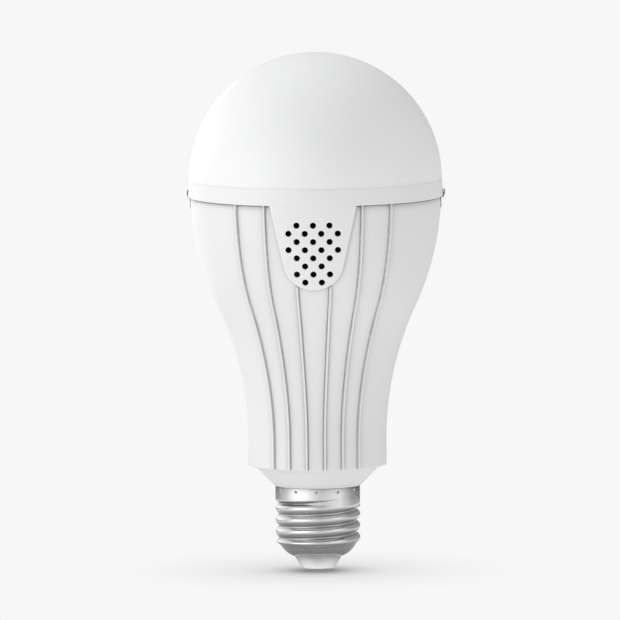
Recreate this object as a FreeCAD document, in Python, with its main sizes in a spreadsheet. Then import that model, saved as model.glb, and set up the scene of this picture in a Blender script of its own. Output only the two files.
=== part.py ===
import FreeCAD, Part
import math
import os
import re

import Sketcher

# Smart light bulb with an E27 screw base, an opal dome and a loudspeaker behind a perforated tab.
# Millimetres and degrees. The bulb stands on the flat of its tip: +Z is up, the axis is Z, and the
# loudspeaker faces -Y. Every height is measured from the flat of the tip.

SIZES = {
    # screw base
    "contact_radius": 3.2,
    "contact_head": 0.6,
    "contact_stem": 1.2,
    "contact_length": 6.0,
    "fit_gap": 0.05,
    "tip_radius": 5.0,
    "tip_rounding": 0.85,
    "cone_radius": 7.25,
    "cone_top": 3.75,
    "plug_radius": 7.5,
    "plug_top": 9.0,
    "shell_mouth": 7.7,
    "shell_foot": 3.9,
    "shell_cup": 8.0,
    "shell_cup_top": 8.4,
    "shell_wall": 0.35,
    "thread_root": 12.13,
    "thread_crest": 13.13,
    "thread_pitch": 3.63,
    "thread_half_width": 1.25,
    "thread_start": 9.45,
    "thread_turns": 2.9,
    "band_foot": 20.9,
    "crimp_radius": 0.4,
    "crimp_depth": 0.2,
    "crimp_height": 24.7,
    "crimp_count": 12,
    # housing: foot, waist and S-curved wall
    "wall": 2.0,
    "spigot_radius": 12.72,
    "spigot_bore": 10.7,
    "spigot_foot": 21.6,
    "foot_height": 25.8,
    "foot_radius": 13.4,
    "chamfer_radius": 18.8,
    "chamfer_top": 31.3,
    "chamfer_wall": 2.3,
    "waist_radius": 21.4,
    "waist_foot": 32.3,
    "flare_start": 39.7,
    "flare_angle": 25.1,
    "concave_radius": 98.3,
    "convex_radius": 86.7,
    "rib_height": 0.7,
    "rib_width": 0.6,
    "rib_root": 0.6,
    "rib_pitch": 15.0,
    "short_rib_top": 90.2,
    "ledge_radius": 34.3,
    "ledge_height": 114.2,
    "ledge_thick": 0.8,
    "neck_radius": 37.5,
    "neck_bore": 35.5,
    "neck_top": 119.0,
    "liner_seat": 34.5,
    # collar with its hanging tab and its two side clips
    "collar_foot": 115.4,
    "collar_top": 120.6,
    "collar_bore": 37.6,
    "collar_radius": 39.1,
    "collar_foot_radius": 39.5,
    "tab_outside": 0.65,
    "tab_inside": 0.06,
    "tab_sides": 12.5,
    "tab_bend": 9.5,
    "tab_bend_height": 98.7,
    "tab_low": 88.0,
    "tab_band_angle": 56.0,
    "hole_radius": 0.93,
    "hole_pitch": 2.53,
    "hole_row": 2.55,
    "top_row": 109.65,
    "clip_inside": 38.95,
    "clip_leaf": 39.57,
    "clip_outside": 40.0,
    "clip_foot": 112.0,
    "clip_top": 117.5,
    "clip_width": 4.0,
    "window_half": 8.8,
    "window_corner": 6.6,
    "window_shoulder": 108.4,
    "window_top": 111.2,
    # dome
    "dome_radius": 39.05,
    "dome_centre": 120.95,
    "dome_wall": 1.5,
    "dome_foot": 120.7,
    "skirt_foot": 119.75,
    "skirt_radius": 37.3,
    "skirt_bore": 35.8,
    "skirt_shoulder": 122.5,
    # light engine
    "spreader_radius": 35.3,
    "spreader_plate": 1.5,
    "spreader_rim": 1.2,
    "spreader_foot": 114.3,
    "board_seat": 117.8,
    "board_radius": 33.0,
    "board_thick": 1.2,
    "chip_wide": 3.5,
    "chip_deep": 2.8,
    "chip_tall": 0.7,
    "outer_ring": 27.0,
    "outer_chips": 18,
    "inner_ring": 13.5,
    "inner_chips": 9,
    "screw_circle": 20.5,
    "screw_count": 3,
    "screw_shank": 1.2,
    "screw_bore": 1.3,
    "screw_head": 2.2,
    "screw_head_tall": 1.4,
    "screw_length": 6.0,
    "led_lead_x": -7.0,
    "led_lead_y": 19.0,
    "lead_hole": 2.3,
    "antenna_x": 8.0,
    "antenna_y": 18.0,
    "antenna_radius": 0.75,
    "antenna_hole": 1.6,
    "antenna_top": 129.0,
    # loudspeaker, along its own axis from the front of its flange
    "speaker_height": 100.5,
    "speaker_front": 28.0,
    "flange_radius": 14.0,
    "flange_thick": 0.8,
    "basket_mouth": 11.8,
    "basket_depth": 7.0,
    "basket_rim": 1.4,
    "basket_skin": 0.7,
    "plate_radius": 9.0,
    "plate_bore": 4.0,
    "plate_thick": 1.2,
    "magnet_bore": 5.2,
    "magnet_thick": 3.0,
    "pole_radius": 3.0,
    "coil_radius": 3.75,
    "coil_bore": 3.25,
    "coil_top": 4.7,
    "coil_foot": 9.4,
    "cone_edge": 9.3,
    "cone_front": 1.1,
    "cone_skin": 0.4,
    "cap_seat": 3.7,
    "cap_radius": 4.0,
    "cap_rise": 1.2,
    "cap_wall": 0.3,
    "roll_seat": 1.0,
    "roll_inner": 9.6,
    "roll_radius": 1.05,
    "roll_wall": 0.35,
    "box_radius": 15.3,
    "box_bore": 13.2,
    "box_depth": 16.4,
    "box_floor": 3.0,
    "gasket_bore": 12.6,
    "cloth_radius": 12.4,
    "cloth_front": 2.4,
    "cloth_thick": 0.4,
    "bracket_thick": 1.5,
    "bracket_half": 9.0,
    "bracket_foot": 92.0,
    "bracket_shelf": 9.6,
    "box_screw_x": 6.5,
    "speaker_lead_x": 2.5,
    "speaker_lead_drop": 6.0,
    "speaker_lead_hole": 0.9,
    # power board and control board
    "liner_radius": 19.2,
    "liner_wall": 0.5,
    "liner_foot": 34.7,
    "liner_top": 72.0,
    "driver_thick": 1.6,
    "tongue_half": 9.5,
    "tongue_foot": 27.5,
    "driver_foot": 35.0,
    "driver_half": 15.0,
    "driver_top": 79.9,
    "tab_inner": 9.0,
    "tab_outer": 13.0,
    "tab_tip": 82.2,
    "control_radius": 27.6,
    "control_foot": 80.0,
    "control_thick": 1.2,
    "core_wide": 15.0,
    "core_deep": 9.0,
    "core_tall": 13.0,
    "core_foot": 52.0,
    "core_window": 10.9,
    "core_yoke": 2.2,
    "leg_radius": 2.4,
    "winding_radius": 4.3,
    "bulk_radius": 5.0,
    "bulk_tall": 18.0,
    "bulk_x": -6.0,
    "bulk_foot": 40.0,
    "output_radius": 4.0,
    "output_tall": 12.0,
    "output_x": 7.0,
    "output_foot": 58.0,
    "small_radius": 2.5,
    "small_tall": 5.4,
    "small_pitch": 6.0,
    "small_row": 22.0,
    "can_crimp_height": 1.4,
    "can_crimp_depth": 0.4,
    "choke_radius": 4.2,
    "choke_waist": 3.2,
    "choke_flange": 1.2,
    "choke_tall": 8.0,
    "choke_x": -6.5,
    "choke_height": 43.0,
    "fuse_radius": 1.9,
    "fuse_x": 3.0,
    "fuse_foot": 29.0,
    "fuse_length": 9.0,
    "wire_radius": 0.5,
}

# Boxes on the boards: width, depth, height, then left side, near side and foot
BLOCKS = {
    "film_capacitor": (10.0, 5.0, 9.0, 2.0, 0.8, 42.0),
    "bridge_rectifier": (5.0, 2.2, 4.5, 4.5, -3.0, 40.0),
    "wireless_module": (15.0, 12.0, 2.4, -9.0, 4.5, 81.2),
    "amplifier_chip": (5.0, 5.0, 0.9, 14.0, -6.0, 81.2),
    "led_connector": (7.0, 5.0, 3.5, -10.5, 16.5, 119.0),
}
BLOCK_SIZES = ("wide", "deep", "tall", "left", "near", "foot")

# Corner points of the leads, each run bent into the next by an arc
LIVE_LEAD = [(0, 0, 6.05), (0, 0, 13), (3, -1.4, 21), (3, -1.4, 31)]
NEUTRAL_LEAD = [(-11.4, 0, 15), (-8.4, -0.9, 19), (-4.5, -1.4, 24), (-4.5, -1.4, 32)]
LED_LEAD = [(0, 0, 81.25), (0, 0, 92), (-2.5, 1.0, 104), (0, 0, 112), (0, 0, 118.95)]
LEAD_SPACING = 2.4

# Holes of the tab, row by row from the top
GRILLE_ROWS = (3, 4, 3, 4, 3, 2, 3, 2)

doc = FreeCAD.newDocument("smart_bulb")
dim = doc.addObject("Spreadsheet::Sheet", "dim")


def fill_sheet():
    """Write every driving dimension in the sheet and name its cell."""
    cells = dict(SIZES)
    for name, values in BLOCKS.items():
        for word, value in zip(BLOCK_SIZES, values):
            cells[f"{name}_{word}"] = value
    for row, (alias, value) in enumerate(cells.items(), start=1):
        dim.set(f"A{row}", alias)
        dim.set(f"B{row}", str(value))
        dim.setAlias(f"B{row}", alias)
    doc.recompute()
    return cells


ALIASES = fill_sheet()


# ---------------------------------------------------------------- expressions and small tools

def bound(text):
    """The expression with each dimension's name pointed at the sheet."""
    def point(word):
        return f"dim.{word[0]}" if word[0] in ALIASES else word[0]

    return re.sub(r"[a-z][a-z_]*", point, str(text))


def size(text):
    """The value of an expression of the sheet's dimensions."""
    return float(dim.evalExpression(bound(text)))


def origin_part(body, role):
    """A body's own origin plane or axis."""
    return next(part for part in body.Origin.OriginFeatures if part.Role == role)


def new_body(name):
    body = doc.addObject("PartDesign::Body", name)
    body.Label = name
    return body


def new_sketch(body, name, role="XZ_Plane"):
    sketch = body.newObject("Sketcher::SketchObject", name)
    sketch.AttachmentSupport = (origin_part(body, role), [""])
    sketch.MapMode = "FlatFace"
    return sketch


def hold(sketch, kind, *args):
    """Add a constraint whose last argument is an expression of the sheet."""
    index = sketch.addConstraint(Sketcher.Constraint(kind, *args[:-1], size(args[-1])))
    sketch.setExpression(f"Constraints[{index}]", bound(args[-1]))


def arc_between(start, end, radius):
    """The minor arc from start to end, turning left where the radius is positive."""
    chord = end - start
    rise = math.sqrt(max(radius ** 2 - chord.Length ** 2 / 4, 0))
    side = FreeCAD.Vector(-chord.y, chord.x, 0).normalize() * math.copysign(rise, radius)
    centre = (start + end) / 2 + side
    first, last = (start, end) if radius > 0 else (end, start)
    angles = [math.atan2(spot.y - centre.y, spot.x - centre.x) for spot in (first, last)]
    circle = Part.Circle(centre, FreeCAD.Vector(0, 0, 1), abs(radius))
    return Part.ArcOfCircle(circle, angles[0], angles[1])


def draw_outline(sketch, corners):
    """Close an outline through corners (x, y), or (x, y, radius) where an arc arrives at the corner."""
    spots = [FreeCAD.Vector(size(corner[0]), size(corner[1]), 0) for corner in corners]
    first = sketch.GeometryCount
    heads = []
    for k, corner in enumerate(corners):
        if len(corner) == 3:
            radius = size(corner[2])
            edge = arc_between(spots[k - 1], spots[k], radius)
            heads.append(2 if radius > 0 else 1)
        else:
            edge = Part.LineSegment(spots[k - 1], spots[k])
            heads.append(2)
        sketch.addGeometry(edge, False)
    for k, corner in enumerate(corners):
        edge = first + k
        following = (k + 1) % len(corners)
        sketch.addConstraint(
            Sketcher.Constraint("Coincident", edge, heads[k], first + following, 3 - heads[following])
        )
        hold(sketch, "DistanceX", -1, 1, edge, heads[k], corner[0])
        hold(sketch, "DistanceY", -1, 1, edge, heads[k], corner[1])
        if len(corner) == 3:
            hold(sketch, "Radius", edge, f"abs({corner[2]})")


def draw_circle(sketch, across, up, radius):
    spot = FreeCAD.Vector(size(across), size(up), 0)
    circle = Part.Circle(spot, FreeCAD.Vector(0, 0, 1), size(radius))
    index = sketch.addGeometry(circle, False)
    hold(sketch, "DistanceX", -1, 1, index, 3, across)
    hold(sketch, "DistanceY", -1, 1, index, 3, up)
    hold(sketch, "Radius", index, radius)


def revolve(body, name, corners, kind="PartDesign::Revolution"):
    """Turn an outline (radius, height) once round the body's Z axis."""
    sketch = new_sketch(body, f"{name}_outline")
    draw_outline(sketch, corners)
    feature = body.newObject(kind, name)
    feature.Profile = sketch
    feature.ReferenceAxis = (origin_part(body, "Z_Axis"), [""])
    return feature


def pad(body, sketch, name, length, midplane=False):
    feature = body.newObject("PartDesign::Pad", name)
    feature.Profile = sketch
    feature.setExpression("Length", bound(length))
    feature.Midplane = midplane
    return feature


def cut_through(body, sketch, name, reverse=False):
    """Pocket the sketch right through on one side of its plane, and make sure that it cuts."""
    doc.recompute()
    before = body.Shape.Volume
    feature = body.newObject("PartDesign::Pocket", name)
    feature.Profile = sketch
    feature.Type = "ThroughAll"
    feature.Reversed = reverse
    doc.recompute()
    assert body.Shape.Volume < before - 1e-3, f"{name} cuts nothing"
    return feature


def polar(body, feature, name, count, angle=360.0):
    pattern = body.newObject("PartDesign::PolarPattern", name)
    pattern.Originals = [feature]
    pattern.Axis = (origin_part(body, "Z_Axis"), [""])
    pattern.setExpression("Occurrences", bound(count))
    pattern.setExpression("Angle", bound(angle))
    body.Tip = pattern
    return pattern


def revolved_body(name, corners):
    body = new_body(name)
    revolve(body, f"{name}_turned", corners)
    return body


def block(name):
    """A plain box on a board."""
    box = doc.addObject("Part::Box", name)
    box.Label = name
    for side, word in (("Length", "wide"), ("Width", "deep"), ("Height", "tall")):
        box.setExpression(side, bound(f"{name}_{word}"))
    for axis, word in (("x", "left"), ("y", "near"), ("z", "foot")):
        box.setExpression(f"Placement.Base.{axis}", bound(f"{name}_{word}"))
    return box


def shaped(name, shape):
    """A sub-part whose shape is worked out here from the sheet's values."""
    feature = doc.addObject("Part::Feature", name)
    feature.Label = name
    feature.Shape = shape
    return feature


# ---------------------------------------------------------------- the housing's S-curve

INFLECTION_RADIUS = "(waist_radius + concave_radius * (1 - cos(flare_angle)))"
INFLECTION_HEIGHT = "(flare_start + concave_radius * sin(flare_angle))"
SHOULDER_RADIUS = f"({INFLECTION_RADIUS} + convex_radius * (1 - cos(flare_angle)))"
SHOULDER_HEIGHT = f"({INFLECTION_HEIGHT} + convex_radius * sin(flare_angle))"


def wall_radius(height, offset):
    """Radius of the upper, convex part of the wall at a height, moved out by the offset."""
    drop = f"({SHOULDER_HEIGHT} - {height})"
    return f"({SHOULDER_RADIUS} - convex_radius + sqrt((convex_radius + {offset})^2 - {drop}^2))"


def s_curve(offset, top):
    """The wall's outline from the top of the waist up to a height, moved out by the offset."""
    return [
        (f"waist_radius + {offset}", "flare_start"),
        (
            f"{INFLECTION_RADIUS} + {offset} * cos(flare_angle)",
            f"{INFLECTION_HEIGHT} - {offset} * sin(flare_angle)",
            f"{offset} - concave_radius",
        ),
        (wall_radius(top, offset), top, f"convex_radius + {offset}"),
    ]


def backwards(run):
    """A run of corners taken the other way."""
    points = [corner[:2] for corner in reversed(run)]
    bends = [corner[2:] for corner in reversed(run[1:])]
    return points[:1] + [point + tuple(f"-({bend})" for bend in arc) for point, arc in zip(points[1:], bends)]


# ---------------------------------------------------------------- screw base

def make_centre_contact():
    """Eyelet with a flat head, flush with the tip."""
    revolved_body("centre_contact", [
        ("0", "0"),
        ("contact_radius", "0"),
        ("contact_radius", "contact_head"),
        ("contact_stem", "contact_head"),
        ("contact_stem", "contact_length"),
        ("0", "contact_length"),
    ])


def make_tip_insulator():
    revolved_body("tip_insulator", [
        ("contact_radius + fit_gap", "0"),
        ("tip_radius - tip_rounding", "0"),
        ("tip_radius + tip_rounding / 4", "tip_rounding", "tip_rounding * 1.2"),
        ("cone_radius", "cone_top"),
        ("plug_radius", "cone_top + 0.1"),
        ("plug_radius", "plug_top"),
        ("plug_radius - 2", "plug_top"),
        ("contact_stem + fit_gap", "contact_head + 3"),
        ("contact_stem + fit_gap", "contact_head + fit_gap"),
        ("contact_radius + fit_gap", "contact_head + fit_gap"),
    ])


def make_screw_shell():
    """Thin pressed shell: rounded cup, root cylinder, plain band, crimps, and the rounded thread."""
    body = new_body("screw_shell")
    revolve(body, "shell_wall", [
        ("shell_mouth", "shell_foot"),
        ("thread_root", "shell_cup_top", "shell_cup"),
        ("thread_root", "band_foot - 0.6"),
        ("thread_crest", "band_foot"),
        ("thread_crest", "foot_height - fit_gap"),
        ("thread_crest - shell_wall", "foot_height - fit_gap"),
        ("thread_crest - shell_wall", "band_foot + 0.2"),
        ("thread_root - shell_wall", "band_foot - 0.4"),
        ("thread_root - shell_wall", "shell_cup_top + 0.1"),
        ("shell_mouth", "shell_foot + shell_wall", "shell_wall - shell_cup"),
    ])
    crimp_outline = new_sketch(body, "crimp_outline")
    crimp_outline.setExpression("AttachmentOffset.Base.z", bound("thread_crest + 1"))
    draw_circle(crimp_outline, "0", "crimp_height", "crimp_radius")
    doc.recompute()
    crimp = body.newObject("PartDesign::Pocket", "crimp")
    crimp.Profile = crimp_outline
    crimp.setExpression("Length", bound("crimp_depth + 1"))
    polar(body, crimp, "crimps", "crimp_count")
    ridge = new_sketch(body, "thread_outline")
    draw_outline(ridge, [
        ("thread_root - shell_wall / 2", "thread_start - thread_half_width"),
        ("thread_root", "thread_start - thread_half_width"),
        ("thread_crest", "thread_start", "1.3"),
        ("thread_root", "thread_start + thread_half_width", "1.3"),
        ("thread_root - shell_wall / 2", "thread_start + thread_half_width"),
    ])
    thread = body.newObject("PartDesign::AdditiveHelix", "thread")
    thread.Profile = ridge
    thread.ReferenceAxis = (origin_part(body, "Z_Axis"), [""])
    thread.Mode = "pitch-turns-angle"
    thread.setExpression("Pitch", bound("thread_pitch"))
    thread.setExpression("Turns", bound("thread_turns"))
    body.Tip = thread


# ---------------------------------------------------------------- outer casing

def add_ribs(body, name, first, count, top):
    """Thin fins on the wall, one pitch apart, from the waist's foot up to a height."""
    sketch = new_sketch(body, f"{name}_outline")
    sketch.AttachmentOffset = FreeCAD.Placement(
        FreeCAD.Vector(), FreeCAD.Rotation(FreeCAD.Vector(0, 1, 0), size(first))
    )
    outside = [("waist_radius + rib_height", "waist_foot + rib_height")] + s_curve("rib_height", top)
    inside = backwards(s_curve("(0 - rib_root)", top)) + [("waist_radius - rib_root", "waist_foot")]
    draw_outline(sketch, outside + inside + [("waist_radius", "waist_foot")])
    fin = pad(body, sketch, f"{name}_fin", "rib_width", midplane=True)
    polar(body, fin, name, str(count), f"{count - 1} * rib_pitch")


def make_housing():
    """Moulded body: spigot in the shell, chamfered foot, waist, S-curve, and a neck for the collar."""
    body = new_body("housing")
    outside = [
        ("spigot_bore", "spigot_foot"),
        ("spigot_radius", "spigot_foot"),
        ("spigot_radius", "foot_height"),
        ("foot_radius", "foot_height"),
        ("chamfer_radius", "chamfer_top"),
        ("waist_radius", "waist_foot"),
    ]
    neck = [
        ("neck_radius", "collar_foot"),
        ("neck_radius", "neck_top"),
        ("neck_bore", "neck_top"),
        ("neck_bore", "ledge_height"),
        ("ledge_radius", "ledge_height"),
        ("ledge_radius", "ledge_height - ledge_thick"),
    ]
    inside = [
        ("waist_radius - wall", "liner_seat"),
        ("waist_radius - wall * 2", "liner_seat - 0.7"),
        ("chamfer_radius - chamfer_wall", "chamfer_top"),
        ("spigot_bore", "foot_height - 0.3"),
    ]
    walls = s_curve("0", "collar_foot") + neck + backwards(s_curve("(0 - wall)", "ledge_height - 2.2"))
    revolve(body, "housing_wall", outside + walls + inside)
    add_ribs(body, "left_ribs", "-90 - 2.5 * rib_pitch", 2, "collar_foot")
    add_ribs(body, "middle_ribs", "-90 - 0.5 * rib_pitch", 2, "short_rib_top")
    add_ribs(body, "right_ribs", "-90 + 1.5 * rib_pitch", 2, "collar_foot")
    add_ribs(body, "back_ribs", "90 - 2.5 * rib_pitch", 6, "collar_foot")
    window = new_sketch(body, "sound_window_outline")
    draw_outline(window, [
        ("window_half", "window_shoulder"),
        ("window_corner", "window_top"),
        ("0 - window_corner", "window_top"),
        ("0 - window_half", "window_shoulder"),
        ("0 - window_half", "tab_bend_height"),
        ("0", "tab_bend_height - window_half", "window_half"),
        ("window_half", "tab_bend_height", "window_half"),
    ])
    cut_through(body, window, "sound_window", reverse=True)


def make_grille_collar():
    """Ring that flares gently to its foot, and the perforated tab over the sound window."""
    body = new_body("grille_collar")
    revolve(body, "collar_ring", [
        ("collar_bore", "collar_foot"),
        ("collar_foot_radius", "collar_foot"),
        ("collar_radius", "collar_top"),
        ("collar_bore", "collar_top"),
    ])
    band_outline = new_sketch(body, "tab_band_outline")
    band_outline.AttachmentOffset = FreeCAD.Placement(
        FreeCAD.Vector(), FreeCAD.Rotation(FreeCAD.Vector(0, 1, 0), -90)
    )
    top = "collar_foot + 0.9"
    draw_outline(band_outline, [
        (wall_radius("tab_low", "tab_outside"), "tab_low"),
        (wall_radius(f"({top})", "tab_outside"), top, "convex_radius + tab_outside"),
        (wall_radius(f"({top})", "tab_inside"), top),
        (wall_radius("tab_low", "tab_inside"), "tab_low", "0 - convex_radius - tab_inside"),
    ])
    band = body.newObject("PartDesign::Revolution", "tab_band")
    band.Profile = band_outline
    band.ReferenceAxis = (origin_part(body, "Z_Axis"), [""])
    band.Midplane = True
    band.setExpression("Angle", bound("tab_band_angle"))
    trim = new_sketch(body, "tab_trim_outline")
    side = "tab_bend / cos(tab_sides) + (collar_foot - tab_bend_height) * tan(tab_sides)"
    bend_x = "tab_bend * cos(tab_sides)"
    bend_z = "tab_bend_height - tab_bend * sin(tab_sides)"
    draw_outline(trim, [
        (f"0 - ({side})", "collar_foot"),
        (f"0 - {bend_x}", bend_z),
        ("0", "tab_bend_height - tab_bend", "tab_bend"),
        (bend_x, bend_z, "tab_bend"),
        (side, "collar_foot"),
        ("clip_outside", "collar_foot"),
        ("clip_outside", "tab_low - 5"),
        ("0 - clip_outside", "tab_low - 5"),
        ("0 - clip_outside", "collar_foot"),
    ])
    trim.setExpression("AttachmentOffset.Base.z", bound("plug_radius"))
    cut_through(body, trim, "tab_trim", reverse=True)
    holes = new_sketch(body, "grille_outline")
    for row, count in enumerate(GRILLE_ROWS):
        for k in range(count):
            across = f"{2 * k - count + 1} * hole_pitch"
            draw_circle(holes, across, f"top_row - {row} * hole_row", "hole_radius")
    cut_through(body, holes, "grille_holes", reverse=True)


def make_collar_clips():
    """Two spring clips: a leaf lies on the collar, bends in under its foot and ends on the wall."""
    inside = SIZES["clip_inside"]
    leaf = SIZES["clip_leaf"]
    outside = SIZES["clip_outside"]
    foot = SIZES["clip_foot"]
    top = SIZES["clip_top"]
    under = SIZES["collar_foot"] - 0.1
    strip = 0.25
    outline = [
        (outside, top),
        (outside, under + 0.6),
        (outside - strip, under - strip),
        (inside + strip, under - 2 * strip),
        (inside + strip, foot),
        (inside, foot),
        (inside, under),
        (leaf, under),
        (leaf, top),
    ]
    half = SIZES["clip_width"] / 2
    corners = [FreeCAD.Vector(x, -half, z) for x, z in outline + outline[:1]]
    face = Part.Face(Part.makePolygon(corners))
    clip = face.extrude(FreeCAD.Vector(0, 2 * half, 0))
    other = clip.copy()
    other.rotate(FreeCAD.Vector(), FreeCAD.Vector(0, 0, 1), 180)
    shaped("collar_clips", Part.makeCompound([clip, other]))


def make_diffuser_dome():
    """Hollow hemisphere with a shoulder and a skirt that drops inside the collar."""
    inner = "(dome_radius - dome_wall)"
    revolved_body("diffuser_dome", [
        ("skirt_bore", "skirt_foot"),
        ("skirt_radius", "skirt_foot"),
        ("skirt_radius", "dome_foot"),
        ("dome_radius", "dome_foot"),
        ("dome_radius", "dome_centre"),
        ("0", "dome_centre + dome_radius", "dome_radius"),
        ("0", f"dome_centre + {inner}"),
        (f"sqrt({inner}^2 - (skirt_shoulder - dome_centre)^2)", "skirt_shoulder", f"0 - {inner}"),
        ("skirt_bore", "skirt_shoulder"),
    ])


def make_dome_seal():
    revolved_body("dome_seal", [
        ("skirt_bore + 0.1", "neck_top + fit_gap"),
        ("skirt_radius - 0.1", "neck_top + fit_gap"),
        ("skirt_radius - 0.1", "skirt_foot - fit_gap"),
        ("skirt_bore + 0.1", "skirt_foot - fit_gap"),
    ])


# ---------------------------------------------------------------- light engine

def screw_places():
    """Expressions for the light engine's screw centres."""
    step = 360 / SIZES["screw_count"]
    return [
        (f"screw_circle * cos({90 + k * step})", f"screw_circle * sin({90 + k * step})")
        for k in range(SIZES["screw_count"])
    ]


def draw_service_holes(sketch):
    """Screw, lead and antenna holes, the same in the spreader and in the board."""
    for across, up in screw_places():
        draw_circle(sketch, across, up, "screw_bore")
    draw_circle(sketch, "led_lead_x", "led_lead_y", "lead_hole")
    draw_circle(sketch, "antenna_x", "antenna_y", "antenna_hole")


def make_heat_spreader():
    """Shallow dish with its rim turned down on to the housing's ledge."""
    body = new_body("heat_spreader")
    revolve(body, "dish", [
        ("spreader_radius - spreader_rim", "spreader_foot"),
        ("spreader_radius", "spreader_foot"),
        ("spreader_radius", "board_seat"),
        ("0", "board_seat"),
        ("0", "board_seat - spreader_plate"),
        ("spreader_radius - spreader_rim", "board_seat - spreader_plate"),
    ])
    holes = new_sketch(body, "service_outline", "XY_Plane")
    draw_service_holes(holes)
    cut_through(body, holes, "service_holes", reverse=True)


def make_led_board():
    body = new_body("led_board")
    sketch = new_sketch(body, "board_outline", "XY_Plane")
    draw_circle(sketch, "0", "0", "board_radius")
    draw_service_holes(sketch)
    pad(body, sketch, "board", "board_thick")
    body.setExpression("Placement.Base.z", bound("board_seat"))


def make_led_chips():
    """Two rings of flat packages, each turned to face the axis."""
    chips = []
    top = size("board_seat + board_thick")
    for ring, count in (("outer_ring", "outer_chips"), ("inner_ring", "inner_chips")):
        for k in range(int(size(count))):
            chip = Part.makeBox(
                size("chip_deep"), size("chip_wide"), size("chip_tall"),
                FreeCAD.Vector(size(ring) - size("chip_deep") / 2, -size("chip_wide") / 2, top),
            )
            chip.rotate(FreeCAD.Vector(), FreeCAD.Vector(0, 0, 1), (k + 0.5) * 360 / size(count))
            chips.append(chip)
    shaped("led_chips", Part.makeCompound(chips))


def screw_shape(place, direction):
    """A pan-head screw whose head sits on a face at the place and whose shank runs in the direction."""
    head = Part.makeCylinder(size("screw_head"), size("screw_head_tall"), place, direction * -1)
    shank = Part.makeCylinder(size("screw_shank"), size("screw_length"), place, direction)
    slot = Part.makeBox(
        size("screw_head") * 2, 0.5, 0.6,
        FreeCAD.Vector(-size("screw_head"), -0.25, size("screw_head_tall") - 0.5),
    )
    turn = FreeCAD.Rotation(FreeCAD.Vector(0, 0, -1), direction)
    slot.Placement = FreeCAD.Placement(place, turn).multiply(slot.Placement)
    return head.fuse(shank).cut(slot).removeSplitter()


def make_led_board_screws():
    top = size("board_seat + board_thick")
    down = FreeCAD.Vector(0, 0, -1)
    screws = [screw_shape(FreeCAD.Vector(size(x), size(y), top), down) for x, y in screw_places()]
    shaped("led_board_screws", Part.makeCompound(screws))


# ---------------------------------------------------------------- loudspeaker

def speaker_piece(name, corners):
    """A turned piece on the loudspeaker's axis; its own +Z looks out of the bulb, along -Y."""
    body = revolved_body(name, corners)
    face_forward(body)
    return body


def face_forward(body):
    body.Placement = FreeCAD.Placement(FreeCAD.Vector(), FreeCAD.Rotation(FreeCAD.Vector(1, 0, 0), 90))
    body.setExpression("Placement.Base.y", bound("0 - speaker_front"))
    body.setExpression("Placement.Base.z", bound("speaker_height"))


def make_speaker_frame():
    speaker_piece("speaker_basket", [
        ("basket_mouth", "0"),
        ("basket_mouth", "0 - basket_rim"),
        ("plate_radius + 0.2", "basket_skin - basket_depth"),
        ("plate_bore + 0.3", "basket_skin - basket_depth"),
        ("plate_bore + 0.3", "0 - basket_depth"),
        ("plate_radius + basket_skin", "0 - basket_depth"),
        ("basket_mouth + 0.8", "0 - basket_rim"),
        ("basket_mouth + 0.8", "0 - flange_thick"),
        ("flange_radius", "0 - flange_thick"),
        ("flange_radius", "0"),
    ])
    speaker_piece("speaker_top_plate", [
        ("plate_bore", "0 - basket_depth"),
        ("plate_bore", "0 - basket_depth - plate_thick"),
        ("plate_radius", "0 - basket_depth - plate_thick"),
        ("plate_radius", "0 - basket_depth"),
    ])
    magnet_back = "(0 - basket_depth - plate_thick - magnet_thick)"
    speaker_piece("speaker_magnet", [
        ("magnet_bore", "0 - basket_depth - plate_thick"),
        ("magnet_bore", magnet_back),
        ("plate_radius", magnet_back),
        ("plate_radius", "0 - basket_depth - plate_thick"),
    ])
    speaker_piece("speaker_yoke", [
        ("0", "0 - basket_depth"),
        ("0", f"{magnet_back} - plate_thick"),
        ("plate_radius", f"{magnet_back} - plate_thick"),
        ("plate_radius", magnet_back),
        ("pole_radius", magnet_back),
        ("pole_radius", "0 - basket_depth"),
    ])


def make_speaker_motion():
    """Cone, dust cap and voice coil, which travel together, and the roll that carries the cone."""
    speaker_piece("speaker_cone", [
        ("coil_bore - 0.05", "0 - coil_top"),
        ("coil_radius + 0.05", "0 - coil_top"),
        ("coil_radius + 0.05", "cone_skin - 0.05 - coil_top"),
        ("cone_edge", "0 - cone_front - cone_skin"),
        ("cone_edge", "0 - cone_front"),
        ("coil_bore - 0.05", "cone_skin + 0.1 - coil_top"),
    ])
    outer_curve = "((cap_radius^2 + cap_rise^2) / (2 * cap_rise))"
    inner_rise = "(cap_rise - cap_wall)"
    inner_edge = f"sqrt(2 * ({outer_curve} - cap_wall) * {inner_rise} - {inner_rise}^2)"
    speaker_piece("speaker_dust_cap", [
        ("cap_radius", "0 - cap_seat"),
        ("0", "cap_rise - cap_seat", outer_curve),
        ("0", f"{inner_rise} - cap_seat"),
        (inner_edge, "0 - cap_seat", f"cap_wall - {outer_curve}"),
    ])
    speaker_piece("voice_coil", [
        ("coil_bore", "0 - coil_foot"),
        ("coil_radius", "0 - coil_foot"),
        ("coil_radius", "0 - coil_top"),
        ("coil_bore", "0 - coil_top"),
    ])
    middle = "(roll_inner + roll_radius)"
    thin = "(roll_radius - roll_wall)"
    speaker_piece("speaker_surround", [
        ("roll_inner + 2 * roll_radius", "0 - roll_seat"),
        (middle, "roll_radius - roll_seat", "roll_radius"),
        ("roll_inner", "0 - roll_seat", "roll_radius"),
        ("roll_inner + roll_wall", "0 - roll_seat"),
        (middle, "roll_radius - roll_wall - roll_seat", f"0 - {thin}"),
        ("roll_inner + 2 * roll_radius - roll_wall", "0 - roll_seat", f"0 - {thin}"),
    ])


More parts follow.
